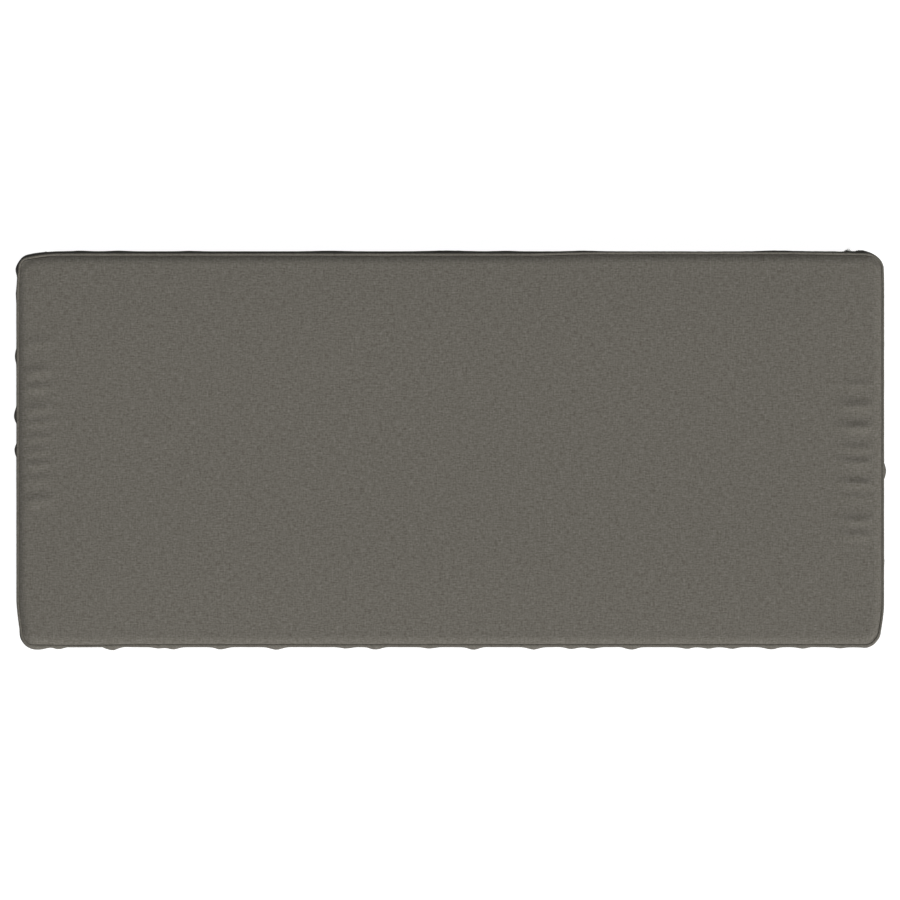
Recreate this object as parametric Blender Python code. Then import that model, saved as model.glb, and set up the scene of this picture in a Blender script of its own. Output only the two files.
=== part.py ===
"""Bench cushion: a long boxed seat cushion with piped seams and a zip along its back side.

The cushion lies flat. X runs along its length, Y from its front to its back, Z up, and the origin
is the middle of the flat underside. Sizes are in metres.
"""
from collections import namedtuple
from math import cos, pi, radians, sin

import bmesh
import bpy
import numpy as np

# Driving dimensions
LENGTH = 1.200            # over the pipings, along X
DEPTH = 0.5454            # over the pipings, along Y
CROWN_TOP = 0.0700        # height of the middle of the top panel
RIM_TOP = 0.0672          # height of the top panel where its rolled rim ends
TOP_SEAM_Z = 0.0610       # middle of the upper piping
BOTTOM_SEAM_Z = 0.0050    # middle of the lower piping
PIPING_RADIUS = 0.00195
PIPING_SIDES = 8

# The top panel, from the seam inwards
RIM_WIDTH = 0.016         # the rim rolls off over this width
CROWN_WIDTH = 0.120       # the crown rises over this width and is level inside it
UNDERSIDE_ROLL = 0.012    # the underside leaves the floor this far inside its seam
UNDERSIDE_LIFT = 0.0009   # its height where it has nearly left the floor
SMALLEST_ARC = 0.0015     # radius that a corner keeps in the inner rows
PULL_WIDTH_IN = 0.050     # the corners' pull fades out over this width

# The boxing's fullness past the middle line of the pipings
BELLY_FRONT = 0.0035
BELLY_SIDE = 0.0045
BELLY_BACK = 0.0070
CORNER_SPREAD = 0.040     # a corner's fullness fades along the sides over this length
PUCKER_REACH = 0.55       # share of the boxing's height that a pucker runs down from the top seam

# The groove in which a piping lies, from the middle of the piping: outward, up
GROOVE_LIP = (-0.0018, 0.0019)
GROOVE_FLOOR = (-0.0025, -0.0006)
GROOVE_FOOT = (-0.0002, -0.0032)

# The zip, in a channel along the back boxing
ZIP_Z = 0.0330            # middle of the teeth
ZIP_LEFT = -0.5600        # ends of the channel between the boxing's folds
ZIP_RIGHT = 0.5650
CHANNEL_HEIGHT = 0.0104
CHANNEL_DEPTH = 0.0038
CHANNEL_SLOPE = 0.0002    # the channel's long walls lean out by this much
CHANNEL_END_SLOPE = 0.0006
CLEARANCE = 0.0003        # gap between pieces that touch
TAPE_THICKNESS = 0.0005
TAPE_GAP = 0.0006
TEETH_HEIGHT = 0.0040
TEETH_THICKNESS = 0.0014
TEETH_RIGHT = 0.5630
SLIDER_X = 0.5547         # middle of the slider
SLIDER_LENGTH = 0.0114
SLIDER_HEIGHT = 0.0086
SLIDER_PLATE = 0.0008
SLIDER_FLANGE = 0.0010
BRIDGE_LENGTH = 0.0100
BRIDGE_WIDTH = 0.0022
BRIDGE_ROOM = 0.0016      # clear height under the bridge
BRIDGE_BAR = 0.0009
BRIDGE_FOOT = 0.0012
EYE_WALL = 0.0008
PULL_WIDTH = 0.0046
PULL_LENGTH = 0.0210
PULL_THICKNESS = 0.0010

# Spacing of the mesh's columns
WIDEST = 0.042            # widest step along a side
CLOSEST = 0.0034          # columns nearer to each other than this are one
CORNER_STEPS = 7
EASE_STEP = 0.0115        # step near the corners, where the sides ease inwards
PIPING_STEP = 0.130       # widest step along a straight piping
PUCKER_STEPS = (-1.5, -0.95, -0.45, 0.0, 0.45, 0.95, 1.5)
CREASE_STEPS = (-0.75, 0.0, 0.75)

HALF_LENGTH = LENGTH / 2 - PIPING_RADIUS
HALF_DEPTH = DEPTH / 2 - PIPING_RADIUS
SEAM_GAP = TOP_SEAM_Z - BOTTOM_SEAM_Z

# Corners of the seam line: over the length ease, the short side eases inwards by pull_x and the
# long side by pull_y, into an arc of radius
Corner = namedtuple("Corner", "sign_x sign_y radius pull_x pull_y ease belly")
FRONT_RIGHT = Corner(1, -1, 0.0205, 0.0052, 0.0012, 0.040, 0.0046)
BACK_RIGHT = Corner(1, 1, 0.0190, 0.0012, 0.0012, 0.030, 0.0066)
BACK_LEFT = Corner(-1, 1, 0.0135, 0.0042, 0.0044, 0.044, 0.0060)
FRONT_LEFT = Corner(-1, -1, 0.0150, 0.0062, 0.0006, 0.040, 0.0050)

# Folds: where a crest lies along its side, how far it stands out, and its half width
Fold = namedtuple("Fold", "place height half_width")
FRONT_PUCKERS = (
    Fold(-0.567, 0.0043, 0.010),
    Fold(-0.542, 0.0032, 0.009),
    Fold(-0.468, 0.0049, 0.012),
    Fold(-0.404, 0.0024, 0.009),
    Fold(-0.383, 0.0033, 0.010),
    Fold(-0.318, 0.0034, 0.012),
    Fold(-0.241, 0.0039, 0.012),
    Fold(-0.145, 0.0024, 0.010),
    Fold(-0.104, 0.0036, 0.012),
    Fold(-0.031, 0.0027, 0.010),
    Fold(0.030, 0.0040, 0.012),
    Fold(0.114, 0.0039, 0.012),
    Fold(0.167, 0.0032, 0.011),
    Fold(0.197, 0.0027, 0.010),
    Fold(0.251, 0.0039, 0.012),
    Fold(0.327, 0.0029, 0.011),
    Fold(0.358, 0.0028, 0.010),
    Fold(0.391, 0.0031, 0.012),
    Fold(0.444, 0.0033, 0.012),
    Fold(0.488, 0.0024, 0.010),
    Fold(0.540, 0.0023, 0.009),
)
BACK_PUCKERS = (
    Fold(-0.512, 0.0012, 0.014),
    Fold(-0.459, 0.0012, 0.016),
    Fold(-0.361, 0.0012, 0.016),
    Fold(-0.168, 0.0016, 0.030),
    Fold(-0.003, 0.0016, 0.034),
    Fold(0.077, 0.0011, 0.018),
    Fold(0.184, 0.0014, 0.022),
    Fold(0.450, 0.0013, 0.030),
    Fold(0.569, 0.0028, 0.009),
)
LEFT_PUCKERS = (
    Fold(0.246, 0.0036, 0.0065),
    Fold(0.214, 0.0020, 0.022),
    Fold(0.131, 0.0030, 0.014),
    Fold(0.048, 0.0036, 0.014),
    Fold(0.000, 0.0032, 0.012),
    Fold(-0.118, 0.0022, 0.016),
)
RIGHT_PUCKERS = (
    Fold(0.148, 0.0020, 0.014),
    Fold(-0.029, 0.0034, 0.013),
    Fold(-0.156, 0.0020, 0.014),
)
# Creases run from the seams of the short ends onto the top panel
LEFT_CREASES = (
    Fold(0.155, 0.0007, 0.0062),
    Fold(0.113, 0.0011, 0.0068),
    Fold(0.090, 0.0010, 0.0055),
    Fold(0.060, 0.0011, 0.0055),
    Fold(0.040, 0.0008, 0.0050),
    Fold(0.019, 0.0009, 0.0048),
    Fold(0.000, 0.0008, 0.0050),
    Fold(-0.020, 0.0010, 0.0055),
    Fold(-0.042, 0.0007, 0.0065),
    Fold(-0.072, 0.0014, 0.0075),
)
RIGHT_CREASES = (
    Fold(0.096, 0.0006, 0.0060),
    Fold(0.065, 0.0014, 0.0068),
    Fold(0.034, 0.0017, 0.0068),
    Fold(0.003, 0.0009, 0.0058),
    Fold(-0.018, 0.0013, 0.0058),
    Fold(-0.049, 0.0013, 0.0055),
    Fold(-0.069, 0.0006, 0.0050),
    Fold(-0.103, 0.0012, 0.0058),
    Fold(-0.124, 0.0011, 0.0068),
)

# Sides in order round the cushion, anticlockwise from above. The corner named is the one at the
# end of the side; creases lie between two distances from the seam.
Side = namedtuple("Side", "axis sign step before corner puckers creases crease_from crease_to belly")
SIDES = (
    Side("y", -1, 1, FRONT_LEFT, FRONT_RIGHT, FRONT_PUCKERS, (), 0.0, 0.1, BELLY_FRONT),
    Side("x", 1, 1, FRONT_RIGHT, BACK_RIGHT, RIGHT_PUCKERS, RIGHT_CREASES, 0.014, 0.064, BELLY_SIDE),
    Side("y", 1, -1, BACK_RIGHT, BACK_LEFT, BACK_PUCKERS, (), 0.0, 0.1, BELLY_BACK),
    Side("x", -1, -1, BACK_LEFT, FRONT_LEFT, LEFT_PUCKERS, LEFT_CREASES, 0.008, 0.052, BELLY_SIDE),
)

# Rows of the top panel: distance inwards from the seam line
TOP_INSETS = (0.120, 0.070, 0.050, 0.035, 0.024, 0.016, 0.0105, 0.0065, 0.0038)
# Rows of the boxing: height where it is plain, height along the zip, and whether on the channel's floor
BoxingRow = namedtuple("BoxingRow", "plain_z zip_z on_floor")
BOXING_ROWS = (
    BoxingRow(0.0562, 0.0562, False),
    BoxingRow(0.0518, 0.0518, False),
    BoxingRow(0.0460, 0.0455, False),
    BoxingRow(0.0405, ZIP_Z + CHANNEL_HEIGHT / 2 + CHANNEL_SLOPE, False),
    BoxingRow(0.0360, ZIP_Z + CHANNEL_HEIGHT / 2, True),
    BoxingRow(0.0300, ZIP_Z - CHANNEL_HEIGHT / 2, True),
    BoxingRow(0.0255, ZIP_Z - CHANNEL_HEIGHT / 2 - CHANNEL_SLOPE, False),
    BoxingRow(0.0195, 0.0200, False),
    BoxingRow(0.0135, 0.0135, False),
)
CHANNEL_FLOOR_Y = HALF_DEPTH + BELLY_BACK - CHANNEL_DEPTH

# How far the zip's layers lie out from the channel's floor
TAPE_BACK = CLEARANCE
TAPE_FACE = TAPE_BACK + TAPE_THICKNESS
TEETH_BACK = TAPE_FACE + CLEARANCE
TEETH_FACE = TEETH_BACK + TEETH_THICKNESS
PLATE_BACK = TEETH_FACE + CLEARANCE
PLATE_FACE = PLATE_BACK + SLIDER_PLATE
BRIDGE_INNER = PLATE_FACE + BRIDGE_ROOM
BRIDGE_TOP = BRIDGE_INNER + BRIDGE_BAR


def principled(name, colour, roughness, metallic=0.0):
    """A plain surface with a colour, a roughness and a metallic value."""
    surface = bpy.data.materials.new(name)
    surface.use_nodes = True
    shader = surface.node_tree.nodes["Principled BSDF"]
    shader.inputs["Base Color"].default_value = (*colour, 1.0)
    shader.inputs["Roughness"].default_value = roughness
    shader.inputs["Metallic"].default_value = metallic
    surface.diffuse_color = (*colour, 1.0)
    return surface


def place_object(name, mesh, location=(0.0, 0.0, 0.0), parent=None):
    """Put an object in the scene at a place in its parent's frame."""
    placed = bpy.data.objects.new(name, mesh)
    placed.location = location
    placed.parent = parent
    bpy.context.scene.collection.objects.link(placed)
    return placed


def add_piece(name, mesh, surface, location=(0.0, 0.0, 0.0), parent=None):
    """Place a piece with its one surface, smooth but for its sharp edges."""
    mesh.materials.append(surface)
    mesh.shade_smooth()
    mesh.set_sharp_from_angle(angle=radians(50))
    return place_object(name, mesh, location, parent)


def corner_arc(corner, inset):
    """Middle, radius, tilts and pulls of a corner's arc at a distance inside the seam line.

    The tilts and pulls are those of the short side and of the long side.
    """
    radius = max(corner.radius - inset, SMALLEST_ARC)
    pulls = np.array([corner.pull_x, corner.pull_y]) * max(0.0, 1 - inset / PULL_WIDTH_IN)
    tilts = 2 * pulls / corner.ease
    reach = inset + pulls + radius * np.cos(tilts)
    middle = np.array([corner.sign_x, corner.sign_y]) * (np.array([HALF_LENGTH, HALF_DEPTH]) - reach)
    return middle, radius, tilts, pulls


def side_end(side, corner, inset):
    """Where a side meets the arc of one of its corners, measured along the side."""
    middle, radius, tilts, _ = corner_arc(corner, inset)
    if side.axis == "y":
        return middle[0] + corner.sign_x * radius * sin(tilts[1])
    return middle[1] + corner.sign_y * radius * sin(tilts[0])


def side_points(side, places, inset):
    """Points and outward normals of one side's columns, which spread evenly as the side shortens."""
    start, end = side_end(side, side.before, 0.0), side_end(side, side.corner, 0.0)
    inner_start, inner_end = side_end(side, side.before, inset), side_end(side, side.corner, inset)
    along = inner_start + (np.array(places) - start) * (inner_end - inner_start) / (end - start)
    drawn_in = np.zeros_like(along)
    slope = np.zeros_like(along)
    for corner, stop in ((side.before, inner_start), (side.corner, inner_end)):
        pull = corner_arc(corner, inset)[3]["xy".index(side.axis)]
        left = np.clip(1 - np.abs(along - stop) / corner.ease, 0, 1)
        drawn_in += pull * left ** 2
        slope += np.sign(stop) * 2 * pull * left / corner.ease
    half = HALF_DEPTH if side.axis == "y" else HALF_LENGTH
    across = side.sign * (half - inset - drawn_in)
    normal_across = np.full_like(along, side.sign)
    lengths = np.hypot(slope, normal_across)
    if side.axis == "y":
        return np.stack([along, across], 1), np.stack([slope, normal_across], 1) / lengths[:, None]
    return np.stack([across, along], 1), np.stack([normal_across, slope], 1) / lengths[:, None]


def corner_points(corner, inset, from_side_y):
    """Points and outward normals between the two ends of a corner's arc."""
    middle, radius, tilts, _ = corner_arc(corner, inset)
    angles = np.linspace(tilts[0], pi / 2 - tilts[1], CORNER_STEPS + 1)[1:-1]
    if from_side_y:
        angles = angles[::-1]
    normals = np.stack([corner.sign_x * np.cos(angles), corner.sign_y * np.sin(angles)], 1)
    return middle + radius * normals, normals


def ring(columns, inset=0.0):
    """A closed row of points round the cushion, with normals, at a distance inside the seam line."""
    points, normals = [], []
    for side, places in zip(SIDES, columns):
        straight = side_points(side, places, inset)
        curved = corner_points(side.corner, inset, side.axis == "y")
        points += [straight[0], curved[0]]
        normals += [straight[1], curved[1]]
    return np.concatenate(points), np.concatenate(normals)


def thinned(places, kept, closest):
    """Sorted places with those dropped that crowd a kept one or their neighbour."""
    result = list(kept)
    for place in places:
        if min(abs(place - other) for other in result) >= closest:
            result.append(place)
    return sorted(result)


def filled(places, widest):
    """Sorted places with more put between those that are too far apart."""
    result = [places[0]]
    for place in places[1:]:
        steps = max(1, int(np.ceil((place - result[-1]) / widest)))
        result.extend(np.linspace(result[-1], place, steps + 1)[1:])
    return result


def cushion_columns(side):
    """Places of the columns along a side, closest together where it has puckers or creases."""
    ends = [side_end(side, side.before, 0.0), side_end(side, side.corner, 0.0)]
    low, high = min(ends), max(ends)
    kept = [low, high]
    if side.axis == "y" and side.sign > 0:
        kept += [ZIP_LEFT - CHANNEL_END_SLOPE, ZIP_LEFT, ZIP_RIGHT, ZIP_RIGHT + CHANNEL_END_SLOPE]
    crests = [fold.place for fold in side.creases + side.puckers]
    troughs = [(one.place + two.place) / 2 for one, two in zip(side.creases, side.creases[1:])]
    creased = [fold.place + step * fold.half_width for fold in side.creases for step in CREASE_STEPS]
    puckered = [fold.place + step * fold.half_width for fold in side.puckers for step in PUCKER_STEPS]
    eased = [end + way * EASE_STEP * step for end, way in ((low, 1), (high, -1)) for step in (1, 2, 3, 4)]
    places = [place for place in crests + troughs + creased + puckered + eased if low < place < high]
    return filled(thinned(places, kept, CLOSEST), WIDEST)[::side.step]


def piping_columns(side):
    """Places of a piping's sections along a side: close together only where the side eases inwards."""
    low, high = sorted([side_end(side, side.before, 0.0), side_end(side, side.corner, 0.0)])
    eased = [EASE_STEP * step for step in (1, 2, 3, 4)]
    places = [low] + [low + step for step in eased] + [high - step for step in reversed(eased)] + [high]
    return filled(places, PIPING_STEP)[::side.step]


def fold_height(folds, places):
    """Summed height of bell-shaped folds at places along a side."""
    height = np.zeros(len(places))
    for fold in folds:
        height += fold.height * np.exp(-((places - fold.place) / fold.half_width) ** 2)
    return height


def side_profiles(columns):
    """Belly, pucker height, crease height and crease limits at each column."""
    belly, pucker, crease, limits, zipped = [], [], [], [], []
    for side, listed in zip(SIDES, columns):
        places = np.array(listed)
        to_start = np.abs(places - places[0])
        to_end = np.abs(places - places[-1])
        bellies = np.full(len(places), side.belly)
        bellies += (side.before.belly - side.belly) * np.exp(-(to_start / CORNER_SPREAD) ** 2)
        bellies += (side.corner.belly - side.belly) * np.exp(-(to_end / CORNER_SPREAD) ** 2)
        belly.append(bellies)
        pucker.append(fold_height(side.puckers, places))
        crease.append(fold_height(side.creases, places))
        limits.append(np.tile([side.crease_from, side.crease_to], (len(places), 1)))
        at_back = side.axis == "y" and side.sign > 0
        inside = np.abs(places - (ZIP_LEFT + ZIP_RIGHT) / 2) < (ZIP_RIGHT - ZIP_LEFT + CHANNEL_END_SLOPE) / 2
        zipped.append(np.where(inside, 1.0, 0.0) if at_back else np.zeros(len(places)))
        corner_count = CORNER_STEPS - 1
        belly.append(np.full(corner_count, side.corner.belly))
        for values in (pucker, crease, zipped):
            values.append(np.zeros(corner_count))
        limits.append(np.tile([0.0, 0.1], (corner_count, 1)))
    return (np.concatenate(belly), np.concatenate(pucker), np.concatenate(crease),
            np.concatenate(limits), np.concatenate(zipped))


def panel_height(inset):
    """Height of the top panel inside the seam: a rim that rolls off, then a slight crown."""
    lip = TOP_SEAM_Z + GROOVE_LIP[1]
    in_rim = np.clip((inset + GROOVE_LIP[0]) / (RIM_WIDTH + GROOVE_LIP[0]), 0, 1)
    in_crown = np.clip((inset - RIM_WIDTH) / (CROWN_WIDTH - RIM_WIDTH), 0, 1)
    rim = lip + (RIM_TOP - lip) * (1 - (1 - in_rim) ** 2)
    return rim + (CROWN_TOP - RIM_TOP) * (1 - (1 - in_crown) ** 2)


def cushion_rows(columns):
    """Rows of points round the cushion, from the crown over the boxing to the underside."""
    belly, pucker, crease, limits, zipped = side_profiles(columns)
    seam, normals = ring(columns)
    rows = []

    def add_row(flat_points, height):
        heights = np.broadcast_to(height, (len(flat_points),))
        rows.append(np.column_stack([flat_points, heights]))

    for inset in TOP_INSETS:
        share = np.clip((inset - limits[:, 0]) / (limits[:, 1] - limits[:, 0]), 0, 1)
        raised = crease * np.sin(pi * share ** 0.8) ** 2
        add_row(ring(columns, inset)[0], panel_height(inset) + raised)
    for out, up in (GROOVE_LIP, GROOVE_FLOOR, GROOVE_FOOT):
        add_row(seam + normals * out, TOP_SEAM_Z + up)
    for row in BOXING_ROWS:
        height = row.plain_z + (row.zip_z - row.plain_z) * (normals[:, 1] > 0.96)
        share = (height - BOTTOM_SEAM_Z) / SEAM_GAP
        below_seam = np.clip((1 - share) / PUCKER_REACH, 0, 1)
        out = belly * 4 * share * (1 - share) + pucker * np.sin(pi * below_seam ** 0.7)
        flat_points = seam + normals * out[:, None]
        if row.on_floor:
            flat_points[:, 1] = np.where(zipped > 0, CHANNEL_FLOOR_Y, flat_points[:, 1])
        add_row(flat_points, height)
    for out, up in ((GROOVE_FOOT[0], -GROOVE_FOOT[1]), (GROOVE_FLOOR[0], -GROOVE_FLOOR[1]),
                    (GROOVE_LIP[0], -GROOVE_LIP[1])):
        add_row(seam + normals * out, BOTTOM_SEAM_Z + up)
    add_row(ring(columns, UNDERSIDE_ROLL * 0.45)[0], UNDERSIDE_LIFT)
    add_row(ring(columns, UNDERSIDE_ROLL)[0], 0.0)
    return rows


def loft_mesh(name, rows, closed_rows):
    """Mesh of quads between rows of points: closed into a loop of rows, or capped at both ends."""
    mesh_builder = bmesh.new()
    grid = [[mesh_builder.verts.new(point) for point in row] for row in rows]
    pairs = list(zip(grid, grid[1:]))
    if closed_rows:
        pairs.append((grid[-1], grid[0]))
    else:
        mesh_builder.faces.new(grid[0])
        mesh_builder.faces.new(list(reversed(grid[-1])))
    count = len(rows[0])
    for upper, lower in pairs:
        for here in range(count):
            beyond = (here + 1) % count
            mesh_builder.faces.new((upper[beyond], upper[here], lower[here], lower[beyond]))
    bmesh.ops.recalc_face_normals(mesh_builder, faces=mesh_builder.faces)
    mesh = bpy.data.meshes.new(name)
    mesh_builder.to_mesh(mesh)
    mesh_builder.free()
    return mesh


def build_cushion(surface):
    """The filled cushion with its panels and boxing, as one solid."""
    columns = [cushion_columns(side) for side in SIDES]
    add_piece("cushion", loft_mesh("cushion", cushion_rows(columns), closed_rows=False), surface)


def build_piping(name, height, surface):
    """A round cord along a seam, with no visible join."""
    seam, normals = ring([piping_columns(side) for side in SIDES])
    rows = []
    for step in range(PIPING_SIDES):
        angle = 2 * pi * (step + 0.5) / PIPING_SIDES
        flat_points = seam + normals * (PIPING_RADIUS * cos(angle))
        heights = np.full(len(seam), PIPING_RADIUS * sin(angle))
        rows.append(np.column_stack([flat_points, heights]))
    add_piece(name, loft_mesh(name, rows, closed_rows=True), surface, (0.0, 0.0, height))


def block_mesh(name, low, high):
    """A box between two opposite corners."""
    mesh_builder = bmesh.new()
    bmesh.ops.create_cube(mesh_builder, size=1.0)
    middle = [(a + b) / 2 for a, b in zip(low, high)]
    sizes = [b - a for a, b in zip(low, high)]
    bmesh.ops.scale(mesh_builder, vec=sizes, verts=mesh_builder.verts)
    bmesh.ops.translate(mesh_builder, vec=middle, verts=mesh_builder.verts)
    mesh = bpy.data.meshes.new(name)
    mesh_builder.to_mesh(mesh)
    mesh_builder.free()
    return mesh


def prism_mesh(name, outline, low, high, axis):
    """A closed outline in the plane across an axis, extruded along that axis from low to high."""
    def place(first, second, along):
        spot = [first, second]
        spot.insert("xyz".index(axis), along)
        return spot

    rows = [[place(*point, along) for point in outline] for along in (low, high)]
    return loft_mesh(name, rows, closed_rows=False)


def build_zip_tapes(surface, zip_line):
    """The two tapes behind the boxing's folds, with a narrow gap between them."""
    outer = CHANNEL_HEIGHT / 2 - CLEARANCE
    for name, way in (("zip_tape_upper", 1), ("zip_tape_lower", -1)):
        heights = sorted([way * TAPE_GAP / 2, way * outer])
        low = (ZIP_LEFT + CLEARANCE, TAPE_BACK, heights[0])
        high = (ZIP_RIGHT - CLEARANCE, TAPE_FACE, heights[1])
        add_piece(name, block_mesh(name, low, high), surface, parent=zip_line)


def build_zip_teeth(surface, zip_line):
    """The closed chain as a bar with rounded outer edges."""
    half = TEETH_HEIGHT / 2
    chamfer = TEETH_THICKNESS * 0.45
    outline = (
        (TEETH_BACK, -half),
        (TEETH_FACE - chamfer, -half),
        (TEETH_FACE, chamfer - half),
        (TEETH_FACE, half - chamfer),
        (TEETH_FACE - chamfer, half),
        (TEETH_BACK, half),
    )
    bar = prism_mesh("zip_teeth", outline, ZIP_LEFT + CLEARANCE, TEETH_RIGHT, "x")
    add_piece("zip_teeth", bar, surface, parent=zip_line)


def change_solid(piece, operation, name, mesh):
    """Fuse another closed shape with a piece, or cut it away, in the piece's own frame."""
    guide = place_object(name, mesh, parent=piece)
    guide.hide_render = True
    guide.display_type = "WIRE"
    change = piece.modifiers.new(name, "BOOLEAN")
    change.operation = operation
    change.object = guide


def build_slider(surface, slider_frame):
    """The slider: a plate over the teeth, a flange along each side of them, and a bridge."""
    half = SLIDER_LENGTH / 2
    tall = SLIDER_HEIGHT / 2
    upper_edge = (
        (half, tall * 0.92),
        (half * 0.45, tall),
        (-half * 0.45, tall * 0.80),
        (-half, tall * 0.62),
    )
    shield = upper_edge + tuple((along, -up) for along, up in reversed(upper_edge))
    plate = prism_mesh("zip_slider", shield, PLATE_BACK, PLATE_FACE, "y")
    slider = add_piece("zip_slider", plate, surface, parent=slider_frame)
    inner = TEETH_HEIGHT / 2 + CLEARANCE
    root = PLATE_FACE - SLIDER_PLATE / 2
    for name, way in (("upper_flange", 1), ("lower_flange", -1)):
        heights = sorted([way * inner, way * (inner + SLIDER_FLANGE)])
        low = (-half * 0.35, TAPE_FACE + CLEARANCE, heights[0])
        high = (half * 0.90, root, heights[1])
        change_solid(slider, "UNION", name, block_mesh(name, low, high))
    foot = BRIDGE_LENGTH / 2
    right_leg = (
        (foot - BRIDGE_FOOT, root),
        (foot - BRIDGE_FOOT, BRIDGE_INNER - 0.0006),
        (foot - BRIDGE_FOOT - 0.0006, BRIDGE_INNER),
    )
    right_shoulder = (
        (foot - 0.0016, BRIDGE_TOP),
        (foot, BRIDGE_INNER - 0.0002),
        (foot, root),
    )
    inside = right_leg + tuple((-along, out) for along, out in reversed(right_leg))
    outside = tuple((-along, out) for along, out in reversed(right_shoulder)) + right_shoulder
    arch = prism_mesh("bridge", inside + outside, -BRIDGE_WIDTH / 2, BRIDGE_WIDTH / 2, "z")
    change_solid(slider, "UNION", "bridge", arch)


def build_pull(surface, slider_frame):
    """The pull: a tab that hangs down from an eye round the bridge's bar."""
    half = PULL_WIDTH / 2
    bar_out = (BRIDGE_INNER + BRIDGE_TOP) / 2
    room_out = BRIDGE_BAR / 2 + CLEARANCE
    room_up = BRIDGE_WIDTH / 2 + CLEARANCE
    wall_out, wall_up = room_out + EYE_WALL, room_up + EYE_WALL
    eye = block_mesh("zip_pull", (-half, -wall_out, -wall_up), (half, wall_out, wall_up))
    pull = add_piece("zip_pull", eye, surface, (0.0, bar_out, 0.0), slider_frame)
    tab_top = -room_up - EYE_WALL / 2
    tab_low = (-half, -PULL_THICKNESS / 2, tab_top - PULL_LENGTH)
    tab_high = (half, PULL_THICKNESS / 2, tab_top)
    change_solid(pull, "UNION", "tab", block_mesh("tab", tab_low, tab_high))
    hole = block_mesh("eye_hole", (-2 * half, -room_out, -room_up), (2 * half, room_out, room_up))
    change_solid(pull, "DIFFERENCE", "eye_hole", hole)


def build_zip(zip_line):
    """The zip in its channel, with the slider in a frame of its own on the line of the teeth."""
    build_zip_tapes(principled("zip_tape_cloth", (0.060, 0.058, 0.054), 0.85), zip_line)
    build_zip_teeth(principled("zip_teeth_nylon", (0.040, 0.039, 0.037), 0.45), zip_line)
    slider_frame = place_object("slider_frame", None, (SLIDER_X, 0.0, 0.0), zip_line)
    build_slider(principled("slider_metal", (0.62, 0.61, 0.60), 0.30, 1.0), slider_frame)
    build_pull(principled("pull_metal", (0.60, 0.59, 0.58), 0.32, 1.0), slider_frame)


def main():
    """Clear the scene and build every piece."""
    for old in list(bpy.data.objects):
        bpy.data.objects.remove(old, do_unlink=True)
    build_cushion(principled("cover_cloth", (0.135, 0.127, 0.110), 0.92))
    for name, height in (("piping_top", TOP_SEAM_Z), ("piping_bottom", BOTTOM_SEAM_Z)):
        build_piping(name, height, principled(name + "_cloth", (0.145, 0.136, 0.118), 0.92))
    build_zip(place_object("zip_line", None, (0.0, CHANNEL_FLOOR_Y, ZIP_Z)))


main()
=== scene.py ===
"""Looks of the bench cushion: its sewn and filled cover, pipings, zip, cloth and metal finishes.

Every length is in metres. The cushion lies flat on the floor, X along its length, Y from its front
to its back where the zip runs, and Z up.
"""
import logging
import math
from dataclasses import dataclass, field
from enum import Enum

import bmesh
import bpy
import numpy as np
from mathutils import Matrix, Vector


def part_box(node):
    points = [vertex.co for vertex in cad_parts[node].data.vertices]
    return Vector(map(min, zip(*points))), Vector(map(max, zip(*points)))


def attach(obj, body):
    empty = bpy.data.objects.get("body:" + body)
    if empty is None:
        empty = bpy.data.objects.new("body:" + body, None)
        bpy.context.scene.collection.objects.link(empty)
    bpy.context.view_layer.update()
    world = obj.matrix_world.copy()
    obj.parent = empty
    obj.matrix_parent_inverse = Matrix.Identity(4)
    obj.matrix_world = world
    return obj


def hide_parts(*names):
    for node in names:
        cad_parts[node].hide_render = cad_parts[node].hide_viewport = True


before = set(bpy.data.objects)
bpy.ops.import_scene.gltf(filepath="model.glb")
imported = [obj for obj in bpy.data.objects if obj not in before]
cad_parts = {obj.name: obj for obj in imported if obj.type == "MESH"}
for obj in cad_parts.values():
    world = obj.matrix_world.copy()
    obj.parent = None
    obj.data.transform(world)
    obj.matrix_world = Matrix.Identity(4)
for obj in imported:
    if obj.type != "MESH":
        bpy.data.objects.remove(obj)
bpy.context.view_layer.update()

LOG = logging.getLogger("bench_cushion")

BODY = "root"
Rows = np.ndarray
Piece = bpy.types.Object
Material = bpy.types.Material
Socket = bpy.types.NodeSocket
RGB = tuple[float, float, float]


# --- Small helpers for meshes ------------------------------------

def smooth_step(values: Rows) -> Rows:
    """Ease from 0 to 1: v² (3 - 2v) with v held between 0 and 1."""
    held = np.clip(values, 0.0, 1.0)
    return held * held * (3.0 - 2.0 * held)


def circle_angles(sides: int) -> Rows:
    """Evenly spaced angles once round a circle, from 0."""
    return 2 * np.pi * np.arange(sides) / sides


def unit(vectors: Rows) -> Rows:
    """Rows of vectors, each scaled to length 1."""
    return vectors / np.linalg.norm(vectors, axis=1, keepdims=True)


def loop_normals(points: Rows) -> Rows:
    """Outward normals of an anticlockwise closed loop: its central differences turned by 90 degrees."""
    tangent = np.roll(points, -1, axis=0) - np.roll(points, 1, axis=0)
    return unit(np.stack([tangent[:, 1], -tangent[:, 0]], axis=1))


def loop_travel(points: Rows) -> Rows:
    """Length along a closed loop to each of its points, and once round."""
    steps = np.linalg.norm(np.roll(points, -1, axis=0) - points, axis=1)
    return np.concatenate([[0.0], np.cumsum(steps)])


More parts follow.
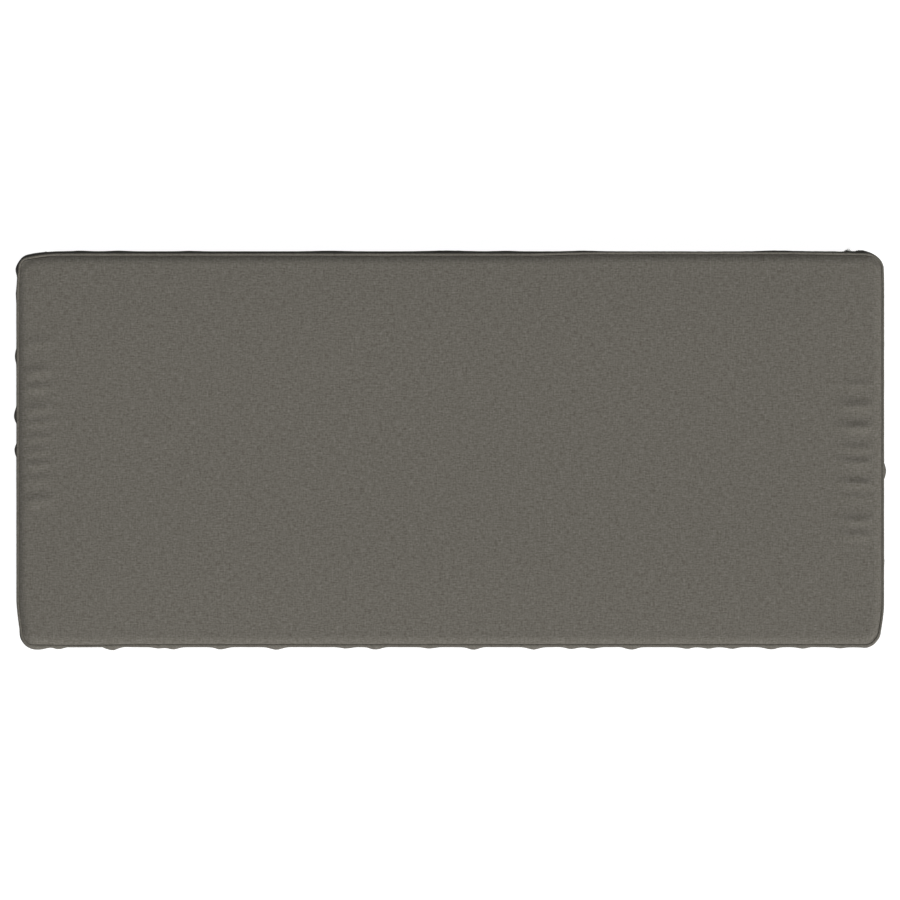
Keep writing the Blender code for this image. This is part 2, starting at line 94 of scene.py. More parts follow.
def grid_faces(rows: int, columns: int, wrap_rows: bool, wrap_columns: bool) -> Rows:
    """Corner numbers of the quads on a grid whose vertex (r, c) has number r * columns + c.

    Args:
        rows: number of rows of vertices.
        columns: number of vertices in a row.
        wrap_rows: the last row joins the first.
        wrap_columns: the last column joins the first.

    Returns:
        An array of four vertex numbers for each quad.
    """
    r = np.arange(rows if wrap_rows else rows - 1)[:, None]
    c = np.arange(columns if wrap_columns else columns - 1)[None, :]
    r_next, c_next = (r + 1) % rows, (c + 1) % columns
    corners = [r * columns + c, r * columns + c_next, r_next * columns + c_next, r_next * columns + c]
    return np.stack([np.broadcast_to(k, (r.size, c.size)) for k in corners], axis=-1).reshape(-1, 4)


def grid_rim(number: Rows) -> Rows:
    """Vertex numbers round a grid's edge, anticlockwise from its first corner."""
    return np.concatenate([number[:-1, 0], number[-1, :-1], number[:0:-1, -1], number[0, :0:-1]])


def ring_faces(rings: Rows) -> Rows:
    """Quads between closed rings of vertex numbers, given as (rings, columns)."""
    beyond = np.roll(rings, -1, axis=1)
    return np.stack([rings[:-1], rings[1:], beyond[1:], beyond[:-1]], axis=-1).reshape(-1, 4)


def points_of(mesh: bpy.types.Mesh) -> Rows:
    """A mesh's points as rows of (x, y, z)."""
    flat = np.empty(len(mesh.vertices) * 3)
    mesh.vertices.foreach_get("co", flat)
    return flat.reshape(-1, 3)


def linked(name: str, data: bpy.types.ID) -> Piece:
    """Make an object of a mesh, a camera or a light and link it to the scene."""
    made = bpy.data.objects.new(name, data)
    bpy.context.scene.collection.objects.link(made)
    return made


def new_mesh(name: str, points: Rows, faces: list, corner_uv: Rows | None = None) -> Piece:
    """Make an object from points and faces, smooth shaded, at the origin.

    Args:
        name: name of the object.
        points: an array of (x, y, z).
        faces: lists of vertex numbers.
        corner_uv: cloth coordinates in metres for each corner of each face, in order.

    Returns:
        The new object, linked to the scene.
    """
    mesh = bpy.data.meshes.new(name)
    mesh.from_pydata(np.asarray(points).reshape(-1, 3).tolist(), [], faces)
    if corner_uv is not None:
        layer = mesh.uv_layers.new(name="cloth")
        layer.data.foreach_set("uv", np.ascontiguousarray(corner_uv, dtype=np.float32).ravel())
    mesh.update()
    mesh.shade_smooth()
    return linked(name, mesh)


def turn_faces_out(piece: Piece, fill_sides: int = 0) -> None:
    """Recalculate a closed mesh's normals so that they all point out.

    Args:
        piece: the object.
        fill_sides: close its holes of up to this many sides first, or none if it is 0.
    """
    builder = bmesh.new()
    builder.from_mesh(piece.data)
    if fill_sides:
        bmesh.ops.holes_fill(builder, edges=builder.edges, sides=fill_sides)
    bmesh.ops.recalc_face_normals(builder, faces=builder.faces)
    builder.to_mesh(piece.data)
    builder.free()


def add_bevel(piece: Piece, width: float, segments: int = 2, angle: float = 40.0) -> None:
    """Round a piece's edges sharper than an angle in degrees."""
    bevel = piece.modifiers.new("rounded edges", "BEVEL")
    bevel.width = width
    bevel.segments = segments
    bevel.limit_method = "ANGLE"
    bevel.angle_limit = math.radians(angle)
    bevel.harden_normals = False


def wear(piece: Piece, material: Material) -> None:
    """Make a material the piece's only one."""
    piece.data.materials.clear()
    piece.data.materials.append(material)


def finish_piece(piece: Piece, material: Material,
                 replaced: tuple[str, ...] = ()) -> None:
    """Dress a piece, make it ride on the cushion and hide the CAD nodes that it stands for.

    Args:
        piece: the object.
        material: its finish.
        replaced: the CAD nodes that it stands for.
    """
    wear(piece, material)
    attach(piece, BODY)
    if replaced:
        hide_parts(*replaced)
    triangles = sum(len(face.vertices) - 2 for face in piece.data.polygons)
    LOG.info("%s: %d triangles before modifiers", piece.name, triangles)


def wave_sum(along: Rows, seed: int, wavelengths: tuple[float, float], count: int = 24) -> Rows:
    """Smooth unevenness along a line: a sum of cosines with seeded wavelengths and phases.

    Args:
        along: places in metres.
        seed: of the random draws.
        wavelengths: shortest and longest wave.
        count: number of waves.

    Returns:
        Values of about unit spread, one for each place.
    """
    draws = np.random.default_rng(seed)
    lengths = np.exp(draws.uniform(np.log(wavelengths[0]), np.log(wavelengths[1]), count))
    phases = draws.uniform(0.0, 2.0 * np.pi, count)
    waves = np.cos(2.0 * np.pi * along[..., None] / lengths + phases)
    return waves.sum(axis=-1) * math.sqrt(2.0 / count)


# --- Small helpers for shader nodes ------------------------------

class NodeDesk:
    """Lays out shader nodes in a tree and links them, so that effects read as formulas."""

    def __init__(self, tree: bpy.types.NodeTree) -> None:
        """Start with a tree."""
        self.tree = tree

    def add(self, kind: str, inputs: dict | None = None, **settings: object) -> bpy.types.Node:
        """Add a node of a kind, give it its settings and feed its inputs, by name or number."""
        node = self.tree.nodes.new(kind)
        for name, value in settings.items():
            setattr(node, name, value)
        self.fill(node, inputs or {})
        return node

    def feed(self, socket: Socket, value: object) -> None:
        """Link another node's socket to this one, or set its own value."""
        if isinstance(value, Socket):
            self.tree.links.new(value, socket)
        else:
            socket.default_value = value

    def fill(self, node: bpy.types.Node, values: dict) -> None:
        """Feed several of a node's inputs, by name or number."""
        for key, value in values.items():
            self.feed(node.inputs[key], value)

    def math(self, operation: str, *values: object) -> Socket:
        """A Math node of one to three values."""
        return self.add("ShaderNodeMath", dict(enumerate(values)), operation=operation).outputs[0]

    def noise(self, vector: object, scale: float, detail: float = 2.0,
              roughness: float = 0.5) -> Socket:
        """A Noise Texture's value at a vector."""
        values = {"Vector": vector, "Scale": scale, "Detail": detail, "Roughness": roughness}
        return self.add("ShaderNodeTexNoise", values).outputs["Fac"]

    def stretched(self, vector: object, scale: RGB, turn: float = 0.0,
                  tilt: float = 0.0) -> Socket:
        """A vector scaled by different shares along its axes, then turned about Z and X, in degrees."""
        rotation = (math.radians(tilt), 0.0, math.radians(turn))
        values = {"Vector": vector, "Scale": scale, "Rotation": rotation}
        return self.add("ShaderNodeMapping", values).outputs["Vector"]

    def ranged(self, value: object, low: float, high: float, to_low: float,
               to_high: float) -> Socket:
        """A value carried from one range to another and held inside it."""
        values = (value, low, high, to_low, to_high)
        return self.add("ShaderNodeMapRange", dict(enumerate(values))).outputs[0]

    def blend(self, share: object, first: object, second: object, mode: str = "MIX") -> Socket:
        """A colour between two, by a share."""
        node = self.add("ShaderNodeMix", {"Factor": share}, data_type="RGBA", blend_type=mode)
        for name, value in (("A", first), ("B", second)):
            socket = next(s for s in node.inputs if s.name == name and s.type == "RGBA")
            self.feed(socket, (*value, 1.0) if isinstance(value, tuple) and len(value) == 3 else value)
        return next(s for s in node.outputs if s.type == "RGBA")

    def shaded(self, colour: object, shade: object) -> Socket:
        """A colour times a shade of grey."""
        grey = self.add("ShaderNodeCombineColor", {0: shade, 1: shade, 2: shade})
        return self.blend(1.0, colour, grey.outputs[0], "MULTIPLY")

    def bump(self, height: object, distance: float, strength: float = 1.0) -> Socket:
        """A normal bent by a height that counts in a distance, in metres."""
        values = {"Distance": distance, "Strength": strength, "Height": height}
        return self.add("ShaderNodeBump", values).outputs[0]


def new_material(name: str) -> tuple[Material, NodeDesk, bpy.types.Node]:
    """Make a material, with its desk and its Principled shader."""
    made = bpy.data.materials.new(name)
    made.use_nodes = True
    return made, NodeDesk(made.node_tree), made.node_tree.nodes["Principled BSDF"]


def new_group(name: str, inputs: tuple[tuple[str, str, object], ...],
              outputs: tuple[str, ...]) -> tuple[bpy.types.NodeTree, NodeDesk, dict, bpy.types.Node]:
    """Make a shader node group with named sockets.

    Args:
        name: of the group.
        inputs: (name, kind of socket, default) of each input.
        outputs: name of each output, all of them numbers.

    Returns:
        The group, its desk, its input sockets by name and the node that its results go to.
    """
    group = bpy.data.node_groups.new(name, "ShaderNodeTree")
    for label, kind, default in inputs:
        socket = group.interface.new_socket(label, in_out="INPUT", socket_type=kind)
        if default is not None:
            socket.default_value = default
    for label in outputs:
        group.interface.new_socket(label, in_out="OUTPUT", socket_type="NodeSocketFloat")
    desk = NodeDesk(group)
    entry, result = desk.add("NodeGroupInput"), desk.add("NodeGroupOutput")
    return group, desk, {s.name: s for s in entry.outputs}, result


def make_weave_group() -> bpy.types.NodeTree:
    """Plain weave: two sets of threads that pass over and under each other.

    With u and v counted in threads, warp thread i lies at height |sin πu| + cos(π(v + i)) and weft
    thread j at |sin πv| - cos(π(u + j)), both scaled, and the higher one shows. Slubs make single
    threads thicker and lighter or darker along their length.

    Returns:
        The group, with Height and Tone outputs.
    """
    roundness, fullness, rise_height = 0.6, 0.62, 0.24
    slub_stretch, slub_scale = 0.045, 0.9
    inputs = (("Cloth", "NodeSocketVector", None), ("Threads per Metre", "NodeSocketFloat", 1000.0),
              ("Slub", "NodeSocketFloat", 0.3))
    group, desk, entry, result = new_group("plain weave", inputs, ("Height", "Tone"))
    counted = desk.add("ShaderNodeVectorMath", {0: entry["Cloth"], "Scale": entry["Threads per Metre"]},
                       operation="SCALE").outputs[0]
    drift = desk.add("ShaderNodeTexNoise", {"Vector": counted, "Scale": 0.08})
    wander = desk.add("ShaderNodeVectorMath", {0: drift.outputs["Color"], 1: (0.9, 0.9, 0.0), 2: counted},
                      operation="MULTIPLY_ADD").outputs[0]
    u, v = desk.add("ShaderNodeSeparateXYZ", {0: wander}).outputs[:2]

    def thread(across: object, along: object, sign: float) -> Socket:
        """Height of one set of threads: its rounded section and its rise and fall."""
        rounded = desk.math("ABSOLUTE", desk.math("SINE", desk.math("MULTIPLY", across, math.pi)))
        number = desk.math("FLOOR", across)
        shifted = desk.math("ADD", along, desk.math("SUBTRACT", number, 0.5))
        rise = desk.math("COSINE", desk.math("MULTIPLY", shifted, math.pi))
        section = desk.math("POWER", rounded, roundness)
        return desk.math("ADD", desk.math("MULTIPLY", section, fullness),
                         desk.math("MULTIPLY", rise, rise_height * sign))

    warp, weft = thread(u, v, 1.0), thread(v, u, -1.0)
    slub_warp = desk.noise(desk.stretched(wander, (1.0, slub_stretch, 1.0)), slub_scale, 1.0)
    slub_weft = desk.noise(desk.stretched(wander, (slub_stretch, 1.0, 1.0)), slub_scale, 1.0)
    on_top = desk.math("GREATER_THAN", warp, weft)
    tone = desk.add("ShaderNodeMix", {0: on_top, 2: slub_weft, 3: slub_warp}, data_type="FLOAT").outputs[0]
    height = desk.math("MULTIPLY_ADD", desk.math("SUBTRACT", tone, 0.5), entry["Slub"],
                       desk.math("MAXIMUM", warp, weft))
    desk.fill(result, {"Height": height, "Tone": tone})
    return group


def make_heather_group() -> bpy.types.NodeTree:
    """Heathered yarn: light and dark fibres along the threads, in streaks both ways, and faint clouds.

    Streaks are noise stretched along one thread direction, two sets and flecks mixed into one
    value of mean 0.5; clouds are a much larger noise.

    Returns:
        The group, with Streaks and Clouds outputs.
    """
    long, narrow = 120.0, 600.0
    inputs = (("Cloth", "NodeSocketVector", None), ("Contrast", "NodeSocketFloat", 1.0))
    group, desk, entry, result = new_group("heathered yarn", inputs, ("Streaks", "Clouds"))
    across, along, fleck = (desk.noise(desk.stretched(entry["Cloth"], (*scale, 1.0)), 1.0, detail)
                            for scale, detail in (((long, narrow), 0.0), ((narrow, long), 0.0),
                                                  ((330.0, 420.0), 0.5)))
    threads = desk.math("MULTIPLY_ADD", across, 0.34, desk.math("MULTIPLY", along, 0.24))
    both = desk.math("MULTIPLY_ADD", fleck, 0.42, threads)
    streaks = desk.math("MULTIPLY_ADD", desk.math("SUBTRACT", both, 0.5), entry["Contrast"], 0.5)
    desk.fill(result, {"Streaks": streaks, "Clouds": desk.noise(entry["Cloth"], 14.0)})
    return group


class Groups:
    """The shared shader effects, each made once."""

    weave: bpy.types.NodeTree
    heather: bpy.types.NodeTree

    @classmethod
    def make(cls) -> None:
        """Build every group."""
        cls.weave = make_weave_group()
        cls.heather = make_heather_group()


# --- Finishes ----------------------------------------------------

@dataclass(frozen=True)
class Cloth:
    """A woven cloth in heathered yarn, read from the piece's own cloth coordinates.

    Attributes:
        name: of the material.
        dark: colour of its darker fibres.
        light: colour of its lighter fibres.
        threads: threads to the metre.
        turn: degrees by which the weave is turned, as on a bias-cut strip.
        relief: height of the weave, in metres.
        contrast: how much the fibres differ.
        sheen: weight of the soft sheen of its loose fibres.
        upright: read the weave from the piece's own x and z, where it has no cloth coordinates.
    """

    name: str
    dark: RGB
    light: RGB
    threads: float = 1050.0
    turn: float = 0.0
    relief: float = 0.00022
    contrast: float = 1.02
    sheen: float = 0.03
    upright: bool = False

    def material(self) -> Material:
        """Build the cloth's material."""
        made, desk, shader = new_material(self.name)
        if self.upright:
            place = desk.add("ShaderNodeTexCoord").outputs["Object"]
            cloth = desk.stretched(place, (1.0, 1.0, 1.0), tilt=-90.0)
        else:
            place = desk.add("ShaderNodeUVMap", uv_map="cloth").outputs["UV"]
            cloth = desk.stretched(place, (1.0, 1.0, 1.0), self.turn)
        weave = desk.add("ShaderNodeGroup", node_tree=Groups.weave)
        desk.fill(weave, {"Cloth": cloth, "Threads per Metre": self.threads})
        heather = desk.add("ShaderNodeGroup", node_tree=Groups.heather)
        desk.fill(heather, {"Cloth": cloth, "Contrast": self.contrast})
        height = weave.outputs["Height"]
        slubs = desk.math("SUBTRACT", weave.outputs["Tone"], 0.5)
        fibres = desk.math("MULTIPLY_ADD", slubs, 0.26, heather.outputs["Streaks"])
        yarn = desk.blend(desk.ranged(fibres, 0.22, 0.78, 0.0, 1.0), self.dark, self.light)
        # Painted shade: the base colour is darkened where the weave lies low between the threads and
        # lifted a little on their crests as painted highlight; the clouds are faint random tone.
        weave_shade = desk.ranged(height, 0.05, 0.75, 0.74, 1.03)
        clouds = desk.ranged(heather.outputs["Clouds"], 0.25, 0.75, 0.998, 1.002)
        weave_shade_and_clouds = desk.math("MULTIPLY", weave_shade, clouds)
        fuzzy = desk.math("MULTIPLY_ADD", desk.noise(cloth, 3600.0, 2.0, 0.7), 0.22, height)
        desk.fill(shader, {
            "Base Color": desk.shaded(yarn, weave_shade_and_clouds), "Roughness": desk.ranged(height, 0.0, 1.0, 0.98, 0.86),
            "Normal": desk.bump(fuzzy, self.relief, 0.85), "Sheen Weight": self.sheen,
            "Sheen Roughness": 0.55, "Specular IOR Level": 0.04})
        return made


@dataclass(frozen=True)
class Hard:
    """A metal or plastic surface with faint handling marks.

    Attributes:
        name: of the material.
        colour: base colour.
        roughness: of the clean surface.
        metallic: 1 for metal, 0 for plastic.
        marks: how much handling changes the roughness.
        grain: size of the marks, in metres.
    """

    name: str
    colour: RGB
    roughness: float
    metallic: float
    marks: float = 0.10
    grain: float = 0.0012

    def material(self) -> Material:
        """Build the surface's material."""
        made, desk, shader = new_material(self.name)
        place = desk.add("ShaderNodeTexCoord").outputs["Object"]
        smears = desk.noise(place, 1.0 / self.grain, 3.0, 0.6)
        scratches = desk.noise(desk.stretched(place, (400.0, 6000.0, 6000.0), 20.0), 1.0, 2.0, 0.6)
        mixed = desk.math("MULTIPLY_ADD", scratches, 0.4, desk.math("MULTIPLY", smears, 0.6))
        clean, worn = self.roughness - self.marks / 2, self.roughness + self.marks
        desk.fill(shader, {
            "Roughness": desk.ranged(mixed, 0.3, 0.7, clean, worn),
            "Base Color": desk.shaded(self.colour, desk.ranged(smears, 0.3, 0.7, 0.92, 1.0)),
            "Metallic": self.metallic, "Normal": desk.bump(mixed, 0.00002)})
        return made


@dataclass(frozen=True)
class Thread:
    """Sewing thread: a twisted strand, with painted shade and highlight in fine slanting bands along its
    twist.
    """

    name: str
    colour: RGB

    def material(self) -> Material:
        """Build the thread's material."""
        made, desk, shader = new_material(self.name)
        place = desk.add("ShaderNodeTexCoord").outputs["Object"]
        twist = desk.add("ShaderNodeTexWave", {"Vector": place, "Scale": 1250.0}, wave_type="BANDS",
                         bands_direction="DIAGONAL").outputs["Fac"]
        # Painted shade and highlight: the thread's colour is darkened and lightened along the twist bands.
        desk.fill(shader, {
            "Base Color": desk.shaded(self.colour, desk.ranged(twist, 0.0, 1.0, 0.72, 1.1)),
            "Normal": desk.bump(twist, 0.00005), "Roughness": 0.6})
        return made


COVER_CLOTH = Cloth("cover cloth", dark=(0.0934, 0.0848, 0.0693), light=(0.2024, 0.1943, 0.1751))
PIPING_CLOTH = Cloth("piping cloth", dark=(0.0885, 0.0826, 0.0714), light=(0.181, 0.1715, 0.1495),
                     turn=45.0, relief=0.00018)
TAPE_CLOTH = Cloth("zip tape", dark=(0.030, 0.029, 0.027), light=(0.060, 0.058, 0.054), threads=1900.0,
                   relief=0.00010, contrast=0.6, sheen=0.02, upright=True)
NYLON = Hard("zip nylon", colour=(0.030, 0.029, 0.028), roughness=0.38, metallic=0.0)
NICKEL = Hard("nickel plate", colour=(0.66, 0.65, 0.63), roughness=0.24, metallic=1.0)
SEWING_THREAD = Thread("sewing thread", colour=(0.125, 0.118, 0.102))


# --- Sizes and the seam line -------------------------------------

@dataclass(frozen=True)
class Corner:
    """A corner of the seam line, and the boxing's fullness there.

    Attributes:
        sign_x: side of the middle along X.
        sign_y: side of the middle along Y.
        radius: of the seam's arc.
        pull_x: how far the short side is drawn in, along X.
        pull_y: how far the long side is drawn in, along Y.
        ease: length over which a side is drawn in.
        belly: how far the boxing stands out past the seam.
        curve: power by which a side eases in.
        flatness: how much lower the panel's rim rises there.
        swell: how far the boxing swells just under the upper seam there.
    """

    sign_x: int
    sign_y: int
    radius: float
    pull_x: float
    pull_y: float
    ease: float
    belly: float
    curve: float = 2.0
    flatness: float = 0.0
    swell: float = 0.0

    def away(self, x: Rows, y: Rows, half_x: float, half_y: float) -> Rows:
        """Distances from the corner of a rectangle given by its half sizes."""
        return np.hypot(x - self.sign_x * half_x, y - self.sign_y * half_y)

    def draw(self, away: Rows) -> Rows:
        """How fully a side is drawn in at distances from the corner: 1 at it and 0 past the ease."""
        run = self.ease + self.radius / 2
        return np.clip(1 - np.clip(away - 0.3 * self.radius, 0, None) / run, 0, 1) ** self.curve


def facing(turned: Rows) -> Rows:
    """Share by which a wall faces a side, from its normal's part towards that side."""
    return np.clip(turned, 0, 1) ** 8


def bell(away: Rows, half_width: float) -> Rows:
    """A bell: exp(-(away / half width)²), which is 1 at its middle."""
    return np.exp(-(away / half_width) ** 2)


def stretch(places: Rows, ends: tuple[float, float, float, float]) -> Rows:
    """0 before a stretch's start and past its end, 1 where it is full, and eased between."""
    start, full, past, end = ends
    return smooth_step((places - start) / (full - start)) * smooth_step((end - places) / (end - past))


def near_side(inside: Rows, reach: float = 0.05) -> Rows:
    """1 at a side, falling evenly to 0 at a reach inside it."""
    return np.clip(1 - inside / reach, 0, 1)


@dataclass(frozen=True)
class Fold:
    """A pucker or crease: its crest's place along its side, its height and its half width."""

    place: float
    height: float
    half_width: float


def folds(*rows: tuple[float, float, float]) -> tuple[Fold, ...]:
    """Folds from rows of place, height and half width."""
    return tuple(Fold(*row) for row in rows)


@dataclass(frozen=True)
class Drift:
    """A stretch of a long side where the seam runs off its straight line, along Y.

    Attributes:
        sign_y: the side, 1 for the back and -1 for the front.
        amount: how far, along Y.
        ends: places along X where it starts, is full, is full for the last time and ends.
    """

    sign_y: int
    amount: float
    ends: tuple[float, float, float, float]

    def share(self, x: Rows) -> Rows:
        """How full it is at each x."""
        return stretch(x, self.ends)


class Edge(Enum):
    """The four sides of the cushion, each with its axis (0 across X, 1 across Y) and its sign."""

    FRONT = (1, -1)
    RIGHT = (0, 1)
    BACK = (1, 1)
    LEFT = (0, -1)


CORNERS = (
    Corner(1, -1, 0.0192, 0.0069, 0.0014, 0.041, 0.0055, 1.4, swell=0.0026),
    Corner(1, 1, 0.0190, 0.0014, 0.0010, 0.030, 0.0056, flatness=0.30),
    Corner(-1, 1, 0.0092, 0.0037, 0.0068, 0.052, 0.0088, flatness=0.45),
    Corner(-1, -1, 0.0162, 0.0070, 0.0006, 0.050, 0.0066, 1.35, swell=0.0022),
)
DRIFTS = (
    Drift(1, 0.0003, (-0.575, -0.540, 0.540, 0.575)),
    Drift(1, 0.0019, (0.100, 0.212, 0.470, 0.566)),
    Drift(1, 0.0008, (0.490, 0.545, 0.572, 0.594)),
    Drift(-1, 0.0009, (-0.500, -0.420, 0.545, 0.575)),
)
BELLY = {Edge.FRONT: 0.0035, Edge.RIGHT: 0.0048, Edge.BACK: 0.0071, Edge.LEFT: 0.0047}
PUCKERS = {
    Edge.FRONT: folds(
        (-0.571, 0.0027, 0.0110), (-0.544, 0.0032, 0.0088), (-0.470, 0.0045, 0.0102),
        (-0.405, 0.0020, 0.0088), (-0.385, 0.0032, 0.0092), (-0.319, 0.0032, 0.0105),
        (-0.242, 0.0037, 0.0105), (-0.145, 0.0021, 0.0095), (-0.104, 0.0035, 0.0100),
        (-0.029, 0.0023, 0.0092), (0.032, 0.0036, 0.0100), (0.116, 0.0034, 0.0102),
        (0.169, 0.0027, 0.0098), (0.198, 0.0023, 0.0090), (0.252, 0.0035, 0.0100),
        (0.329, 0.0025, 0.0100), (0.359, 0.0024, 0.0090), (0.392, 0.0025, 0.0102),
        (0.446, 0.0032, 0.0105), (0.490, 0.0022, 0.0092), (0.542, 0.0017, 0.0085),
    ),
    Edge.BACK: folds(
        (-0.514, 0.0012, 0.0140), (-0.461, 0.0012, 0.0160), (-0.362, 0.0009, 0.0150),
        (-0.168, 0.0011, 0.0280), (-0.003, 0.0014, 0.0330), (0.077, 0.0010, 0.0170),
        (0.185, 0.0011, 0.0210), (0.451, 0.0013, 0.0300), (0.5440, -0.0004, 0.0046),
        (0.5555, 0.0006, 0.0070), (0.5725, 0.0028, 0.0078),
    ),
    Edge.LEFT: folds(
        (0.252, 0.0049, 0.0078), (0.214, 0.0023, 0.0210), (0.131, 0.0036, 0.0135),
        (0.049, 0.0047, 0.0125), (0.000, 0.0041, 0.0110), (-0.122, 0.0018, 0.0170),
    ),
    Edge.RIGHT: folds((0.147, 0.0021, 0.0140), (-0.029, 0.0042, 0.0120), (-0.156, 0.0020, 0.0140)),
}
CREASES = {
    Edge.LEFT: folds(
        (0.149, 0.0013, 0.0062), (0.109, 0.0021, 0.0068), (0.087, 0.0019, 0.0055),
        (0.058, 0.0021, 0.0052), (0.039, 0.0015, 0.0046), (0.018, 0.0017, 0.0044),
        (0.000, 0.0015, 0.0046), (-0.019, 0.0019, 0.0052), (-0.040, 0.0013, 0.0062),
        (-0.069, 0.0022, 0.0075),
    ),
    Edge.RIGHT: folds(
        (0.091, 0.0013, 0.0055), (0.061, 0.0029, 0.0066), (0.032, 0.0036, 0.0066),
        (0.003, 0.0019, 0.0052), (-0.017, 0.0027, 0.0055), (-0.046, 0.0027, 0.0050),
        (-0.065, 0.0013, 0.0046), (-0.097, 0.0025, 0.0055), (-0.117, 0.0023, 0.0066),
    ),
}
CREASE_REACH = {Edge.LEFT: (0.005, 0.019, 0.026, 0.058), Edge.RIGHT: (0.008, 0.025, 0.033, 0.072)}
# Rows of the upper groove, from the lip down, and of the lower seam's turn to the flat underside, as
# places out of the seam and heights, over the upper seam and over the floor.
GROOVE = ((-0.0020, 0.0016), (-0.0025, 0.0006), (-0.0027, -0.0006), (-0.0020, -0.0020), (-0.0006, -0.0031))
UNDER_TURN = ((-0.0032, 0.0031), (-0.0040, 0.0019), (-0.0054, 0.0010), (-0.0080, 0.0004), (-0.0110, 0.0))
CLOTH_SETTINGS = {
    "quality": 5, "mass": 0.25, "tension_stiffness": 18.0, "compression_stiffness": 18.0,
    "shear_stiffness": 6.0, "bending_stiffness": 0.3, "pin_stiffness": 1.0, "use_pressure": True,
    "shrink_min": 0.0,
}


def thinned(size: int, stride: int) -> Rows:
    """Every so many of the numbers from 0 to size - 1, and always the last."""
    return np.unique(np.append(np.arange(0, size, stride), size - 1))


def spread(values: Rows, kept: Rows, size: int, closed: bool = False) -> Rows:
    """Carry values given on a thinned first axis back to every number of it.

    Between two kept numbers the value is mixed evenly, and then the whole is smoothed twice by the
    weights 1/4, 1/2, 1/4.

    Args:
        values: an array whose first axis stands for the kept numbers.
        kept: the kept numbers, rising from 0.
        size: how many numbers there are.
        closed: the last number's neighbour is the first.

    Returns:
        An array whose first axis has the whole size.
    """
    if closed:
        values, kept = np.concatenate([values, values[:1]]), np.append(kept, size)
    place = np.interp(np.arange(size), kept, np.arange(len(kept)))
    low = np.minimum(place.astype(int), len(kept) - 2)
    share = (place - low).reshape(-1, *([1] * (values.ndim - 1)))
    full = values[low] * (1 - share) + values[low + 1] * share
    for _ in range(2):
        before = np.roll(full, 1, axis=0)
        after = np.roll(full, -1, axis=0)
        if not closed:
            before[0], after[-1] = full[0], full[-1]
        full = before / 4 + full / 2 + after / 4
    return full


def bells(row: tuple[Fold, ...], places: Rows) -> Rows:
    """Summed height of a row of folds, whose sections are bells."""
    total = np.zeros_like(places, dtype=float)
    for fold in row:
        total += fold.height * bell(places - fold.place, fold.half_width)
    return total


def middle_of(low: tuple[float, ...], high: tuple[float, ...]) -> list[float]:
    """Middle of a box given by its two corners."""
    return [(a + b) / 2 for a, b in zip(low, high)]


